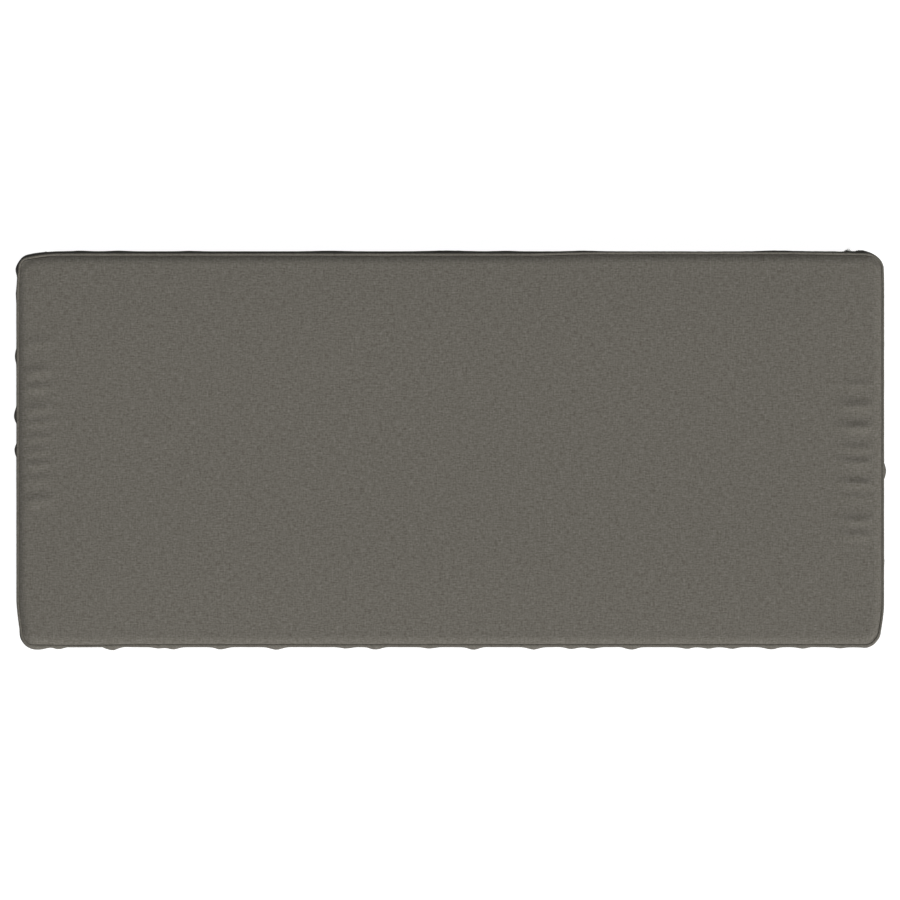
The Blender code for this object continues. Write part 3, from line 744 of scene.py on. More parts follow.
@dataclass(frozen=True)
class SeamLine:
    """The seam seen from above: a rectangle with arcs at its corners and sides that ease inwards.

    Attributes:
        half_length: from the middle to the seam, along X.
        half_depth: from the middle to the seam, along Y.
        top_z: height of the upper seam.
        bottom_z: height of the lower seam.
    """

    half_length: float
    half_depth: float
    top_z: float
    bottom_z: float

    @classmethod
    def from_frame(cls) -> "SeamLine":
        """Read the seam from the two pipings, whose middle lines follow it."""
        low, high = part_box("piping_top")
        radius = (high[2] - low[2]) / 2
        return cls(high[0] - radius, high[1] - radius, *(middle_of(*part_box(name))[2]
                                                         for name in ("piping_top", "piping_bottom")))

    def share_up(self, heights: Rows) -> Rows:
        """Share of the way up from the lower seam, 0, to the upper seam, 1."""
        return (heights - self.bottom_z) / (self.top_z - self.bottom_z)

    def place(self, x: Rows, y: Rows, inset: float) -> tuple[Rows, Rows]:
        """Carry points of a plain rectangle onto the seam's shape, a distance inside it.

        In a corner's square, with a and b the shares of the way across it, a point goes to
        (a sqrt(1 - b²/2), b sqrt(1 - a²/2)), which turns the square's outer edges into an arc. Then
        each side moves inwards by pull (1 - t)^curve, where t runs from 0 at the corner to 1 where
        the ease ends.

        Args:
            x: places along X.
            y: places along Y.
            inset: how far the rectangle lies inside the seam.

        Returns:
            The carried x and y.
        """
        half_x, half_y = self.half_length - inset, self.half_depth - inset
        new_x, new_y = np.array(x, dtype=float), np.array(y, dtype=float)
        for corner in CORNERS:
            radius = corner.radius - inset
            a = (corner.sign_x * x - (half_x - radius)) / radius
            b = (corner.sign_y * y - (half_y - radius)) / radius
            inside = (a > 0) & (b > 0)
            a_in, b_in = np.clip(a, 0, 1), np.clip(b, 0, 1)
            round_x = corner.sign_x * (half_x - radius + radius * a_in * np.sqrt(1 - b_in ** 2 / 2))
            round_y = corner.sign_y * (half_y - radius + radius * b_in * np.sqrt(1 - a_in ** 2 / 2))
            new_x = np.where(inside, round_x, new_x)
            new_y = np.where(inside, round_y, new_y)
        moved_x, moved_y = new_x.copy(), new_y.copy()
        for corner in CORNERS:
            from_x = half_x - corner.sign_x * new_x
            from_y = half_y - corner.sign_y * new_y
            moved_x -= corner.sign_x * corner.pull_x * corner.draw(from_y) * near_side(from_x)
            moved_y -= corner.sign_y * corner.pull_y * corner.draw(from_x) * near_side(from_y)
        for drift in DRIFTS:
            near = near_side(half_y - drift.sign_y * new_y)
            moved_y += drift.amount * drift.share(new_x) * near
        return moved_x, moved_y

    @staticmethod
    def moved(sign_y: int, x: Rows) -> Rows:
        """How far a long side's seam runs off its line, along Y, at each x."""
        return sum(drift.amount * drift.share(x) for drift in DRIFTS if drift.sign_y == sign_y)

    def loop(self, count: int, inset: float = 0.0) -> tuple[Rows, Rows, Rows]:
        """Evenly spaced points round the seam, anticlockwise from above, starting at the front left.

        Args:
            count: number of points.
            inset: how far inside the seam.

        Returns:
            Points (count, 2), outward normals (count, 2) and the length along the loop to each.
        """
        half_x, half_y = self.half_length - inset, self.half_depth - inset
        dense_count = 2400
        share = np.linspace(0.0, 1.0, dense_count, endpoint=False)
        x = np.concatenate([-half_x + 2 * half_x * share, np.full(dense_count, half_x),
                            half_x - 2 * half_x * share, np.full(dense_count, -half_x)])
        y = np.concatenate([np.full(dense_count, -half_y), -half_y + 2 * half_y * share,
                            np.full(dense_count, half_y), half_y - 2 * half_y * share])
        dense = np.stack(self.place(x, y, inset), axis=1)
        travelled = loop_travel(dense)
        closed = np.vstack([dense, dense[:1]])
        at = np.linspace(0.0, travelled[-1], count, endpoint=False)
        points = np.stack([np.interp(at, travelled, closed[:, k]) for k in (0, 1)], axis=1)
        return points, loop_normals(points), at


def edge_steps(limit: float, steps: tuple[float, ...], middle_step: float,
               extra: tuple[float, ...] = ()) -> Rows:
    """Grid lines from -limit to limit: close together near both ends and even between.

    Args:
        limit: place of the last line.
        steps: distances of the close lines from each end.
        middle_step: widest step between them.
        extra: places of lines that must be there.

    Returns:
        The sorted places.
    """
    near = np.array((0.0, *steps))
    stops = np.unique(np.concatenate([-limit + near[-1:], extra, limit - near[-1:]]))
    runs = [np.linspace(a, b, max(2, math.ceil((b - a) / middle_step) + 1))
            for a, b in zip(stops, stops[1:])]
    return np.unique(np.concatenate([-limit + near, *runs, limit - near]))


# --- The cover ---------------------------------------------------

@dataclass
class Cover:
    """The filled cushion: top panel, boxing with its zip channel, and underside, as one surface.

    The top panel is a grid over the rectangle. The wall is a set of rows that start at the panel's
    outer edge, run down into the groove under the piping, over the boxing and round to the flat
    underside.
    """

    seam: SeamLine
    crown_top: float = field(default_factory=lambda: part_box("cushion")[1][2])
    rim_top: float = 0.0670
    rim_width: float = 0.016
    rim_power: float = 2.3
    crown_width: float = 0.120
    lip_in: float = 0.0027
    lip_up: float = 0.0019
    lip_lean: float = 0.0001
    back_gap: float = 0.0003
    zip_z: float = 0.033
    channel_half: float = 0.0052
    fold_radius: float = 0.0011
    join_step: float = 0.0004
    panel_hold: float = 0.98
    wall_hold: float = 0.012
    pressure: float = 20.0
    ease_share: float = 0.045
    frames: int = 20
    cap: float = 0.0025
    front_fill: float = 2.05
    front_swell: float = 1.5
    back_calm: float = 1.2
    stitch_in: float = 0.0022
    stitch_sink: float = 0.00028
    rows_above: int = 15
    rows_on_floor: int = 5
    floor_draw: float = 0.08
    floor_step: float = 0.0038
    clearance: float = 0.0003
    groove_reach: float = 0.0045
    zip_hold: tuple[float, float] = (0.0100, 0.0040)
    end_hold: tuple[float, float] = (0.0040, 0.0120)
    edge_lines: tuple[float, ...] = (0.0012, 0.0025, 0.0040, 0.0058, 0.0078, 0.0100, 0.0125, 0.0152,
                                     0.0182, 0.0215, 0.0250, 0.0290)
    line_step_x: float = 0.0044
    line_step_y: float = 0.0036

    def __post_init__(self) -> None:
        """Read the zip channel's place from the frame."""
        low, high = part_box("zip_tape_lower")
        self.floor_y = low[1] - self.clearance
        self.zip_ends = (low[0] - self.clearance, high[0] + self.clearance)

    def panel_lines(self) -> tuple[Rows, Rows]:
        """Grid lines of the top panel along X and Y."""
        ends = tuple(end + way for end in self.zip_ends for way in (-0.0006, 0.0006))
        return (edge_steps(self.seam.half_length - self.lip_in, self.edge_lines, self.line_step_x, ends),
                edge_steps(self.seam.half_depth - self.lip_in, self.edge_lines, self.line_step_y))

    def panel(self, x_lines: Rows, y_lines: Rows) -> Rows:
        """Points of the top panel.

        Its height is the lip, a little lower at the front than at the back, plus a rim rise
        (1 - (1 - d/rim)^power) of the distance d from the seam, plus a crown that is the product of
        such rises along X and Y, plus creases at the short ends and soft unevenness.

        Args:
            x_lines: grid lines along X.
            y_lines: grid lines along Y.

        Returns:
            Points as an array (lines along X, lines along Y, 3).
        """
        x, y = np.meshgrid(x_lines, y_lines, indexing="ij")
        half_x, half_y = self.seam.half_length - self.lip_in, self.seam.half_depth - self.lip_in
        in_x, in_y = half_x - np.abs(x), half_y - np.abs(y)
        distance = np.minimum(in_x, in_y)
        for corner in CORNERS:
            radius = max(corner.radius - self.lip_in, self.rim_width)
            a = radius - (half_x - corner.sign_x * x)
            b = radius - (half_y - corner.sign_y * y)
            rounded = radius - np.hypot(np.clip(a, 0, None), np.clip(b, 0, None))
            distance = np.where((a > 0) & (b > 0), np.clip(rounded, 0, distance), distance)
        lip = self.seam.top_z + self.lip_up + self.lip_lean * y / half_y
        rim_rise = 1 - (1 - np.clip(distance / (self.rim_width - self.lip_in), 0, 1)) ** self.rim_power
        crown_rise = np.ones_like(x)
        for inner in (in_x, in_y):
            climbed = np.clip((inner - self.rim_width) / self.crown_width, 0, 1)
            crown_rise = crown_rise * (1 - (1 - climbed) ** 2)
        for corner in CORNERS:
            near = bell(corner.away(x, y, half_x, half_y), half_width=0.040)
            rim_rise = rim_rise * (1 - corner.flatness * near)
        z = lip + (self.rim_top - lip) * rim_rise + (self.crown_top - self.rim_top) * crown_rise
        z += self.crease_height(x, y, in_x)
        reach = 0.03
        calm = smooth_step(distance / reach)
        z += (0.00005 * calm * wave_sum(x + 0.6 * y, 11, (0.05, 0.22))
              * wave_sum(y - 0.3 * x, 12, (0.05, 0.20)))
        flat_x, flat_y = self.seam.place(x, y, self.lip_in)
        flat_y -= (self.back_gap * smooth_step(1 - (half_y - y) / reach)
                   * smooth_step((half_x - np.abs(x)) / reach))
        return np.stack([flat_x, flat_y, z], axis=-1)

    def crease_height(self, x: Rows, y: Rows, in_x: Rows) -> Rows:
        """Height of the short ends' creases: bells along Y under a hump along X that leans to the seam."""
        total = np.zeros_like(x)
        for edge in (Edge.LEFT, Edge.RIGHT):
            side = edge.value[1]
            sway = 0.0016 * wave_sum(in_x, 31 + side, (0.02, 0.06), 6)
            fine = 0.00010 * wave_sum(y + sway, 41 + side, (0.006, 0.02))
            near = np.where(np.sign(x) == side, stretch(in_x, CREASE_REACH[edge]), 0.0)
            total += near * (bells(CREASES[edge], y + sway) + fine * np.exp(-(y / 0.15) ** 4))
        return total

    def wall_section(self) -> tuple[Rows, Rows, Rows, Rows, Rows]:
        """Rows of the wall from the lip down: heights and depths where it is plain and at the zip.

        Returns:
            For each row: the plain height, the zip height, the channel's depth share (0 on the
            boxing's face, 1 on the channel's floor), the outward place fixed in the grooves, and
            whether the row is on the boxing.
        """
        groove_top = np.array(GROOVE)
        groove_bottom = groove_top[::-1] * (1, -1)
        top_rows = self.seam.top_z + groove_top[:, 1]
        bottom_rows = self.seam.bottom_z + groove_bottom[:, 1]
        upper_edge, lower_edge = self.zip_z + self.channel_half, self.zip_z - self.channel_half
        turn = np.linspace(0.0, np.pi / 2, 5)
        fold_up = upper_edge + self.fold_radius * (1 - np.sin(turn))
        fold_deep = (1 - np.cos(turn)) * (self.fold_radius / self.floor_step)
        above = np.linspace(top_rows[-1], upper_edge + self.fold_radius, self.rows_above + 1)[1:-1]
        below = np.linspace(lower_edge - self.fold_radius, bottom_rows[0], self.rows_above + 1)[1:-1]
        floor = np.linspace(upper_edge, lower_edge, self.rows_on_floor)
        zip_heights = np.concatenate([above, fold_up, floor, 2 * self.zip_z - fold_up[::-1], below])
        depths = np.concatenate([np.zeros(above.size), fold_deep, np.ones(floor.size), fold_deep[::-1],
                                 np.zeros(below.size)])
        plain_heights = np.linspace(top_rows[-1], bottom_rows[0], zip_heights.size + 2)[1:-1]
        none, grooves = np.zeros(zip_heights.size), np.zeros(len(GROOVE))
        return (np.concatenate([top_rows, plain_heights, bottom_rows]),
                np.concatenate([top_rows, zip_heights, bottom_rows]),
                np.concatenate([grooves, depths, grooves]),
                np.concatenate([groove_top[:, 0], none, groove_bottom[:, 0]]),
                np.concatenate([grooves, none + 1, grooves]) > 0)

    def wall_profiles(self, seam_points: Rows, normals: Rows, at: Rows) -> tuple[Rows, Rows, Rows, Rows]:
        """Fullness, pucker height, gather height and zip share at each column of the wall.

        Args:
            seam_points: points on the seam.
            normals: outward normals there.
            at: length along the seam to each.

        Returns:
            Four arrays, one value for each column.
        """
        x, y = seam_points[:, 0], seam_points[:, 1]
        belly, pucker, weights = np.zeros((3, len(x)))
        for edge in Edge:
            axis, sign = edge.value
            share = facing(sign * normals[:, axis])
            belly += share * BELLY[edge]
            weights += share
            fullness = bells(PUCKERS[edge], x if axis == 1 else y)
            if edge is Edge.FRONT:
                moved_in = self.seam.moved(-1, x)
                fullness = np.cbrt((fullness + self.front_swell * moved_in) ** 3
                                   + (self.front_fill * moved_in) ** 3)
            pucker += share * fullness
        belly /= weights
        belly -= facing(normals[:, 1]) * self.back_calm * self.seam.moved(1, x)
        for corner in CORNERS:
            away = corner.away(x, y, self.seam.half_length, self.seam.half_depth)
            belly += (corner.belly - belly) * bell(away, half_width=0.034)
            pucker *= 1 - bell(away, half_width=0.020)
            pucker += corner.swell * bell(away, half_width=0.026)
        gather = 0.00030 * wave_sum(at, 5, (0.009, 0.030), 40)
        zipped = (self.past_zip(x) < 0) & (normals[:, 1] > 0.9)
        return belly, pucker, gather, zipped.astype(float)

    def wall(self, lip_points: Rows) -> tuple[Rows, Rows]:
        """Points of the wall's rows under the panel's lip.

        A row at share s of the way up stands out by 4 s (1 - s) times the belly, plus puckers that
        swell under the upper seam and small gathers at both seams. Past the zip's ends the rows of
        the channel's floor draw a little closer together, clear of the folds' last rows.

        Args:
            lip_points: the panel's outer edge, anticlockwise, as (columns, 3).

        Returns:
            Points (rows, columns, 3), and cloth coordinates (rows, columns + 1, 2) in metres.
        """
        flat = lip_points[:, :2]
        normals = loop_normals(flat)
        seam_points = flat + normals * self.lip_in
        travelled = loop_travel(seam_points)
        belly, pucker, gather, zipped = self.wall_profiles(seam_points, normals, travelled[:-1])
        plain_z, zip_z, depth, fixed_out, on_boxing = self.wall_section()
        back = smooth_step((normals[:, 1] - 0.5) / 0.4)
        heights = plain_z[:, None] + (zip_z - plain_z)[:, None] * back
        past_zip = (depth == 1.0)[:, None] * back * (1 - zipped)
        heights -= self.floor_draw * (zip_z - self.zip_z)[:, None] * past_zip
        share = self.seam.share_up(heights)
        swell_depth, swell_lean, swell_power, tight_width, held_width = 0.62, 0.62, 1.2, 0.22, 0.05
        below = np.clip((1 - share) / swell_depth, 0, 1)
        swell = np.sin(np.pi * below ** swell_lean) ** swell_power
        tight = bell(1 - share, tight_width) + 0.9 * bell(share, tight_width)
        edge_hold = smooth_step((1 - share) / held_width) * smooth_step(share / held_width)
        out = belly * 4 * share * (1 - share) + pucker * swell + gather * tight * edge_hold
        out += self.join_step * self.overlap_share(seam_points, normals) * edge_hold
        for line in self.stitch_heights():
            out -= self.stitch_sink * zipped * bell(heights - line, half_width=0.0011)
        out = np.where(on_boxing[:, None], out, fixed_out[:, None])
        points = np.empty((len(plain_z), len(flat), 3))
        points[..., :2] = seam_points + normals * out[..., None]
        points[..., 2] = heights
        points[0, :, 2] = lip_points[:, 2] - 0.0003
        points[..., 1] += (self.floor_y - points[..., 1]) * (depth[:, None] * zipped)
        points = np.concatenate([points, self.underside(seam_points, normals)])
        return points, self.wall_cloth(points, travelled, zipped)

    def wall_cloth(self, points: Rows, travelled: Rows, zipped: Rows) -> Rows:
        """Cloth coordinates of the wall: u along the seam and v down each column.

        Down a plain column v is its run of length, scaled so that every column has the same width
        of cloth. At the zip v is counted from the upper seam above the channel and from the lower
        seam below it, so the break between the two lies hidden on the channel's floor.

        Args:
            points: the wall's points, as (rows, columns, 3).
            travelled: length along the seam to each column, and once round.
            zipped: 1 for the columns at the zip.

        Returns:
            An array of (u, v) as (rows, columns + 1, 2).
        """
        steps = np.linalg.norm(np.diff(points, axis=0), axis=2)
        run = np.concatenate([np.zeros((1, points.shape[1])), np.cumsum(steps, axis=0)])
        width = np.median(run[-1, zipped == 0])
        down = run * width / run[-1]
        under_zip = points[..., 2] < self.zip_z
        split = np.where(under_zip, width - (run[-1] - run), run)
        down = np.where(zipped > 0, split, down)
        down = np.concatenate([down, down[:, :1]], axis=1)
        return np.stack(np.broadcast_arrays(travelled[None, :], -down), axis=-1)

    def stitch_heights(self) -> tuple[float, float]:
        """Heights of the two rows of topstitching, a little beyond the folds over the zip."""
        reach = self.channel_half + self.fold_radius + self.stitch_in
        return self.zip_z - reach, self.zip_z + reach

    def overlap_share(self, seam_points: Rows, normals: Rows) -> Rows:
        """1 where the plain boxing laps over the zip's ends round the back corners, else 0."""
        beyond = self.past_zip(seam_points[:, 0])
        lap = near_side(beyond - 0.012, reach=0.02)
        return np.where((normals[:, 1] > 0.5) & (beyond > 0), lap, 0.0)

    def past_zip(self, x: Rows) -> Rows:
        """How far places along X lie past the zip's ends, less than 0 between them."""
        return np.maximum(x - self.zip_ends[1], self.zip_ends[0] - x)

    def underside(self, seam_points: Rows, normals: Rows) -> Rows:
        """Rows from the lower seam round to the flat underside, at z = 0."""
        points = np.empty((len(UNDER_TURN), len(seam_points), 3))
        for row, (out, up) in enumerate(UNDER_TURN):
            points[row, :, :2] = seam_points + normals * out
            points[row, :, 2] = up
        return points

    def build(self) -> Piece:
        """Join the panel, the wall and the underside into one closed mesh with cloth coordinates."""
        x_lines, y_lines = self.panel_lines()
        panel = self.panel(x_lines, y_lines)
        nx, ny = panel.shape[:2]
        number = np.arange(nx * ny).reshape(nx, ny)
        edge = grid_rim(number)
        lip_points = panel.reshape(-1, 3)[edge]
        wall, wall_uv = self.wall(lip_points)
        wall_number = nx * ny + np.arange(wall[..., 0].size).reshape(wall.shape[:2])
        rings = np.vstack([edge[None, :], wall_number])
        panel_faces = grid_faces(nx, ny, False, False)[:, ::-1]
        faces = panel_faces.tolist() + ring_faces(rings).tolist() + [rings[-1, ::-1].tolist()]
        plane = np.stack(np.meshgrid(x_lines, y_lines, indexing="ij"), axis=-1).reshape(-1, 2)
        lip_width = 0.0014
        strip = np.concatenate([wall_uv[:1] + (0.0, lip_width), wall_uv])
        strip_uv = np.stack([strip[:-1, :-1], strip[1:, :-1], strip[1:, 1:], strip[:-1, 1:]], axis=2)
        under_uv = wall[-1, ::-1, :2] * (1.0, -1.0)
        corner_uv = np.concatenate([plane[panel_faces].reshape(-1, 2), strip_uv.reshape(-1, 2), under_uv])
        points = np.concatenate([panel.reshape(-1, 3), wall.reshape(-1, 3)])
        piece = new_mesh("padded_cover", points, faces, corner_uv)
        self.settle(piece, number, edge, wall_number)
        self.read_back(piece, wall_number)
        return piece

    def read_back(self, piece: Piece, wall_number: Rows) -> None:
        """Keep the back boxing's final points, for the stitches that lie on it."""
        wall = points_of(piece.data)[wall_number]
        near_back = wall[0, :, 1] > self.seam.half_depth - 0.006
        faces_back = loop_normals(wall[0, :, :2])[:, 1] > 0.5
        self.back_wall = wall[:, np.flatnonzero(near_back & faces_back)[::-1]]

    def back_face(self, x: Rows, z: Rows) -> Rows:
        """Outward place, y, of the back boxing at x and z, mixed evenly between the wall's points."""
        rows, columns = self.back_wall.shape[:2]
        middle = self.back_wall[:, columns // 2, 2]
        r = np.interp(-z, -middle, np.arange(rows))
        c = np.interp(x, self.back_wall[8, :, 0], np.arange(columns))
        r0, c0 = np.clip(r.astype(int), 0, rows - 2), np.clip(c.astype(int), 0, columns - 2)
        fr, fc = r - r0, c - c0
        y = self.back_wall[..., 1]
        near = y[r0, c0] * (1 - fc) + y[r0, c0 + 1] * fc
        far = y[r0 + 1, c0] * (1 - fc) + y[r0 + 1, c0 + 1] * fc
        return near * (1 - fr) + far * fr

    def on_boxing(self, heights: Rows) -> Rows:
        """Whether heights lie on the boxing, clear of the grooves at both seams."""
        reach = self.groove_reach
        return (heights < self.seam.top_z - reach) & (heights > self.seam.bottom_z + reach)

    def wall_held(self, wall: Rows) -> Rows:
        """How firmly the seams and the zip hold each of the wall's points in the simulation."""
        heights = wall[..., 2]
        at_back = wall[..., 1] > self.seam.half_depth - 0.004
        at_zip = at_back & (np.abs(heights - self.zip_z) < self.zip_hold[0])
        return np.where(self.on_boxing(heights) & ~at_zip, self.wall_hold, 1.0)

    def free_share(self, wall: Rows) -> Rows:
        """How far each wall point follows the cloth: 0 in the grooves and at the zip, eased round it."""
        heights = wall[..., 2]
        (up, up_ease), (along, along_ease) = self.zip_hold, self.end_hold
        held_up = 1 - smooth_step((np.abs(heights - self.zip_z) - up) / up_ease)
        held_along = 1 - smooth_step((self.past_zip(wall[..., 0]) - along) / along_ease)
        return self.on_boxing(heights) * np.where(wall[..., 1] > 0, 1 - held_up * held_along, 1.0)

    def settle(self, piece: Piece, number: Rows, edge: Rows, wall_number: Rows) -> None:
        """Let the boxing swell and pucker as cloth that is fuller than its seams.

        A cage of every second grid line and third row goes through Blender's cloth, with pressure
        inside, no gravity, the seams, the zip and the underside held, and the boxing's cloth a
        little longer than its seams. The cage's capped moves are carried over to the cover's own
        points. Then each column of the boxing is drawn back to reach as far out as it was cut.

        Args:
            piece: the cover.
            number: vertex numbers of the top panel.
            edge: vertex numbers round the panel's edge.
            wall_number: vertex numbers of the wall, as (rows, columns).
        """
        points = points_of(piece.data)
        kept_x, kept_y = thinned(number.shape[0], 2), thinned(number.shape[1], 2)
        kept_rows = thinned(wall_number.shape[0], 3)
        panel = number[np.ix_(kept_x, kept_y)]
        rim = grid_rim(panel)
        column_of = np.zeros(points.shape[0], dtype=int)
        column_of[edge] = np.arange(len(edge))
        kept_columns = column_of[rim]
        wall = wall_number[np.ix_(kept_rows, kept_columns)]
        moves = self.simulate(points, panel, rim, wall)
        panel_move = spread(moves[panel], kept_x, number.shape[0]).swapaxes(0, 1)
        panel_move = spread(panel_move, kept_y, number.shape[1]).swapaxes(0, 1)
        wall_move = spread(moves[wall], kept_rows, wall_number.shape[0]).swapaxes(0, 1)
        wall_move = spread(wall_move, kept_columns, wall_number.shape[1], closed=True).swapaxes(0, 1)
        free = self.free_share(points[wall_number])
        moved = points.copy()
        moved[number[1:-1, 1:-1]] += panel_move[1:-1, 1:-1]
        moved[wall_number] += wall_move * free[..., None]
        normals = loop_normals(points[edge, :2])
        reach_before, reach_after = ((state[wall_number, :2] * normals).sum(axis=-1).max(axis=0)
                                     for state in (points, moved))
        share = self.seam.share_up(points[wall_number, 2])
        seam_ease = 0.15
        back = smooth_step(share / seam_ease) * smooth_step((1 - share) / seam_ease) * free
        moved[wall_number, :2] -= normals * ((reach_after - reach_before) * back)[..., None]
        piece.data.vertices.foreach_set("co", moved.ravel())
        piece.data.update()
        LOG.info("padded_cover: settled, widest move %.2f mm",
                 1000 * np.linalg.norm(moved - points, axis=1).max())

    def simulate(self, points: Rows, panel: Rows, rim: Rows, wall: Rows) -> Rows:
        """Run the cloth on the cage and give each point's capped move.

        Args:
            points: all the cover's points.
            panel: numbers of the cage's panel points.
            rim: numbers round the cage's panel.
            wall: numbers of the cage's wall points.

        Returns:
            Moves as an array of the points' shape, zero away from the cage.
        """
        used = np.unique(np.concatenate([panel.ravel(), wall.ravel()]))
        renumbered = np.zeros(len(points), dtype=int)
        renumbered[used] = np.arange(len(used))
        rings = np.vstack([rim[None, :], wall])
        grid = panel.reshape(-1)[grid_faces(*panel.shape, False, False)[:, ::-1]]
        quads = renumbered[np.concatenate([grid, ring_faces(rings)])]
        cage = new_mesh("cage", points[used], quads.tolist() + [renumbered[rings[-1, ::-1]].tolist()])
        held, eased = np.zeros((2, len(points)))
        held[panel], held[rim], held[wall] = self.panel_hold, 1.0, self.wall_held(points[wall])
        eased[wall] = self.on_boxing(points[wall, 2])
        for name, shares in (("held", held[used]), ("eased", eased[used])):
            group = cage.vertex_groups.new(name=name)
            for share in np.unique(shares):
                group.add(np.flatnonzero(shares == share).tolist(), float(share), "REPLACE")
        cloth = cage.modifiers.new("cloth", "CLOTH")
        settings = cloth.settings
        for name, value in CLOTH_SETTINGS.items():
            setattr(settings, name, value)
        settings.vertex_group_mass = "held"
        settings.vertex_group_shrink = "eased"
        settings.uniform_pressure_force = self.pressure
        settings.shrink_max = -self.ease_share
        settings.effector_weights.gravity = 0.0
        cloth.collision_settings.use_collision = False
        scene = bpy.context.scene
        for number in range(1, self.frames + 1):
            scene.frame_set(number)
        settled = cage.evaluated_get(bpy.context.evaluated_depsgraph_get())
        move = points_of(settled.data) - points[used]
        length = np.linalg.norm(move, axis=1, keepdims=True)
        move *= np.minimum(1.0, self.cap / np.maximum(length, 1e-9))
        LOG.info("cage: %d points, median move %.2f mm, widest %.2f mm", len(used),
                 1000 * np.median(length), 1000 * length.max())
        mesh = cage.data
        bpy.data.objects.remove(cage)
        bpy.data.meshes.remove(mesh)
        scene.frame_set(1)
        moves = np.zeros_like(points)
        moves[used] = move
        return moves

    def dress(self, piece: Piece, cloth: Material) -> None:
        finish_piece(piece, cloth, ("cushion",))


# --- The pipings -------------------------------------------------

@dataclass
class Piping:
    """A thin cord in a bias-cut strip of the cover's cloth, sewn into a seam all the way round."""

    name: str
    node: str
    seam: SeamLine
    height: float
    seed: int
    lean: float = 0.0
    front_in: float = 0.00015
    radius: float = 0.00215
    inset: float = 0.00020
    columns: int = 1500
    sides: int = 14

    def build(self) -> Piece:
        """Carry a circle round the seam: seam + n r cos a, height + r sin a, with slight ripples in r.

        The height rises by the lean from the middle to the back and falls by it to the front, and
        the front run lies a little further in.
        """
        points, normals, at = self.seam.loop(self.columns, self.inset)
        points[:, 1] += self.front_in * facing(-normals[:, 1])
        angle = circle_angles(self.sides)
        ripple = (1 + 0.016 * wave_sum(at, self.seed, (0.005, 0.014), 30)
                  + 0.012 * wave_sum(at, self.seed + 1, (0.03, 0.2)))
        radius = self.radius * np.clip(ripple, 0.90, 1.07)
        lift = (0.00014 * wave_sum(at, self.seed + 2, (0.04, 0.30))
                + self.lean * points[:, 1] / self.seam.half_depth)
        out = radius[:, None] * np.cos(angle)
        up = radius[:, None] * np.sin(angle) + lift[:, None]
        tube = np.empty((self.columns, self.sides, 3))
        tube[..., :2] = points[:, None, :] + normals[:, None, :] * out[..., None]
        tube[..., 2] = self.height + up
        faces = grid_faces(self.columns, self.sides, True, True)
        along = np.append(at, at[-1] + (at[-1] - at[-2]))
        around = np.linspace(0.0, 2 * np.pi * self.radius, self.sides + 1)
        sheet = np.stack(np.meshgrid(along, around, indexing="ij"), axis=-1)
        corner_uv = np.stack([sheet[:-1, :-1], sheet[:-1, 1:], sheet[1:, 1:], sheet[1:, :-1]], axis=2)
        piece = new_mesh(self.name, tube, faces.tolist(), corner_uv.reshape(-1, 2))
        turn_faces_out(piece)
        return piece

    def dress(self, piece: Piece, cloth: Material) -> None:
        """Give the piping its cloth."""
        finish_piece(piece, cloth, (self.node,))


@dataclass
class Topstitching:
    """Sewn rows on the back boxing: one along each fold over the zip and one across each end.

    A stitch is a short strand along t from -1 to 1. Its middle line stands out of the cloth by
    r (0.9 - 1.7 t²), so that its ends dive in, and its section is a circle of radius r (1 - 0.3 t⁴).
    """

    cover: Cover
    pitch: float = 0.0032
    length: float = 0.0026
    radius: float = 0.00030
    rings: int = 5
    sides: int = 6
    end_margin: float = 0.0030
    end_run: tuple[float, float] = (0.0135, 0.0530)

    def rows(self) -> tuple[Rows, Rows]:
        """Middles of all the stitches as (x, z), and the direction of each."""
        left, right = self.cover.zip_ends
        x = np.arange(left + self.pitch / 2, right, self.pitch)
        z = np.arange(self.end_run[0], self.end_run[1], self.pitch)
        middles, ways = [], []
        for height in self.cover.stitch_heights():
            middles.append(np.stack([x, np.full_like(x, height)], axis=1))
            ways.append(np.tile((1.0, 0.0), (len(x), 1)))
        for place in (left - self.end_margin, right + self.end_margin):
            middles.append(np.stack([np.full_like(z, place), z], axis=1))
            ways.append(np.tile((0.0, 1.0), (len(z), 1)))
        return np.concatenate(middles), np.concatenate(ways)

    def build(self) -> Piece:
        """Make every stitch in one array, joined as one object."""
        middles, ways = self.rows()
        t = np.linspace(-1.0, 1.0, self.rings)
        angle = circle_angles(self.sides)
        line = middles[:, None, :] + ways[:, None, :] * (t * self.length / 2)[None, :, None]
        y = self.cover.back_face(line[..., 0], line[..., 1]) + self.radius * (0.9 - 1.7 * t ** 2)
        size = self.radius * (1 - 0.3 * t ** 4)
        across = np.stack([-ways[:, 1], ways[:, 0]], axis=1)
        aside = size[:, None] * np.cos(angle)
        points = np.empty((len(middles), self.rings, self.sides, 3))
        points[..., 0] = line[..., None, 0] + across[:, None, None, 0] * aside
        points[..., 1] = y[..., None] + size[:, None] * np.sin(angle)
        points[..., 2] = line[..., None, 1] + across[:, None, None, 1] * aside
        one = tube_faces(self.rings, self.sides, False)
        start = self.rings * self.sides
        faces = [[corner + start * k for corner in face] for k in range(len(middles)) for face in one]
        piece = new_mesh("topstitching", points, faces)
        turn_faces_out(piece)
        return piece

    def dress(self, piece: Piece, thread: Material) -> None:
        """Give the stitches their thread."""
        finish_piece(piece, thread)


# --- The zip -----------------------------------------------------

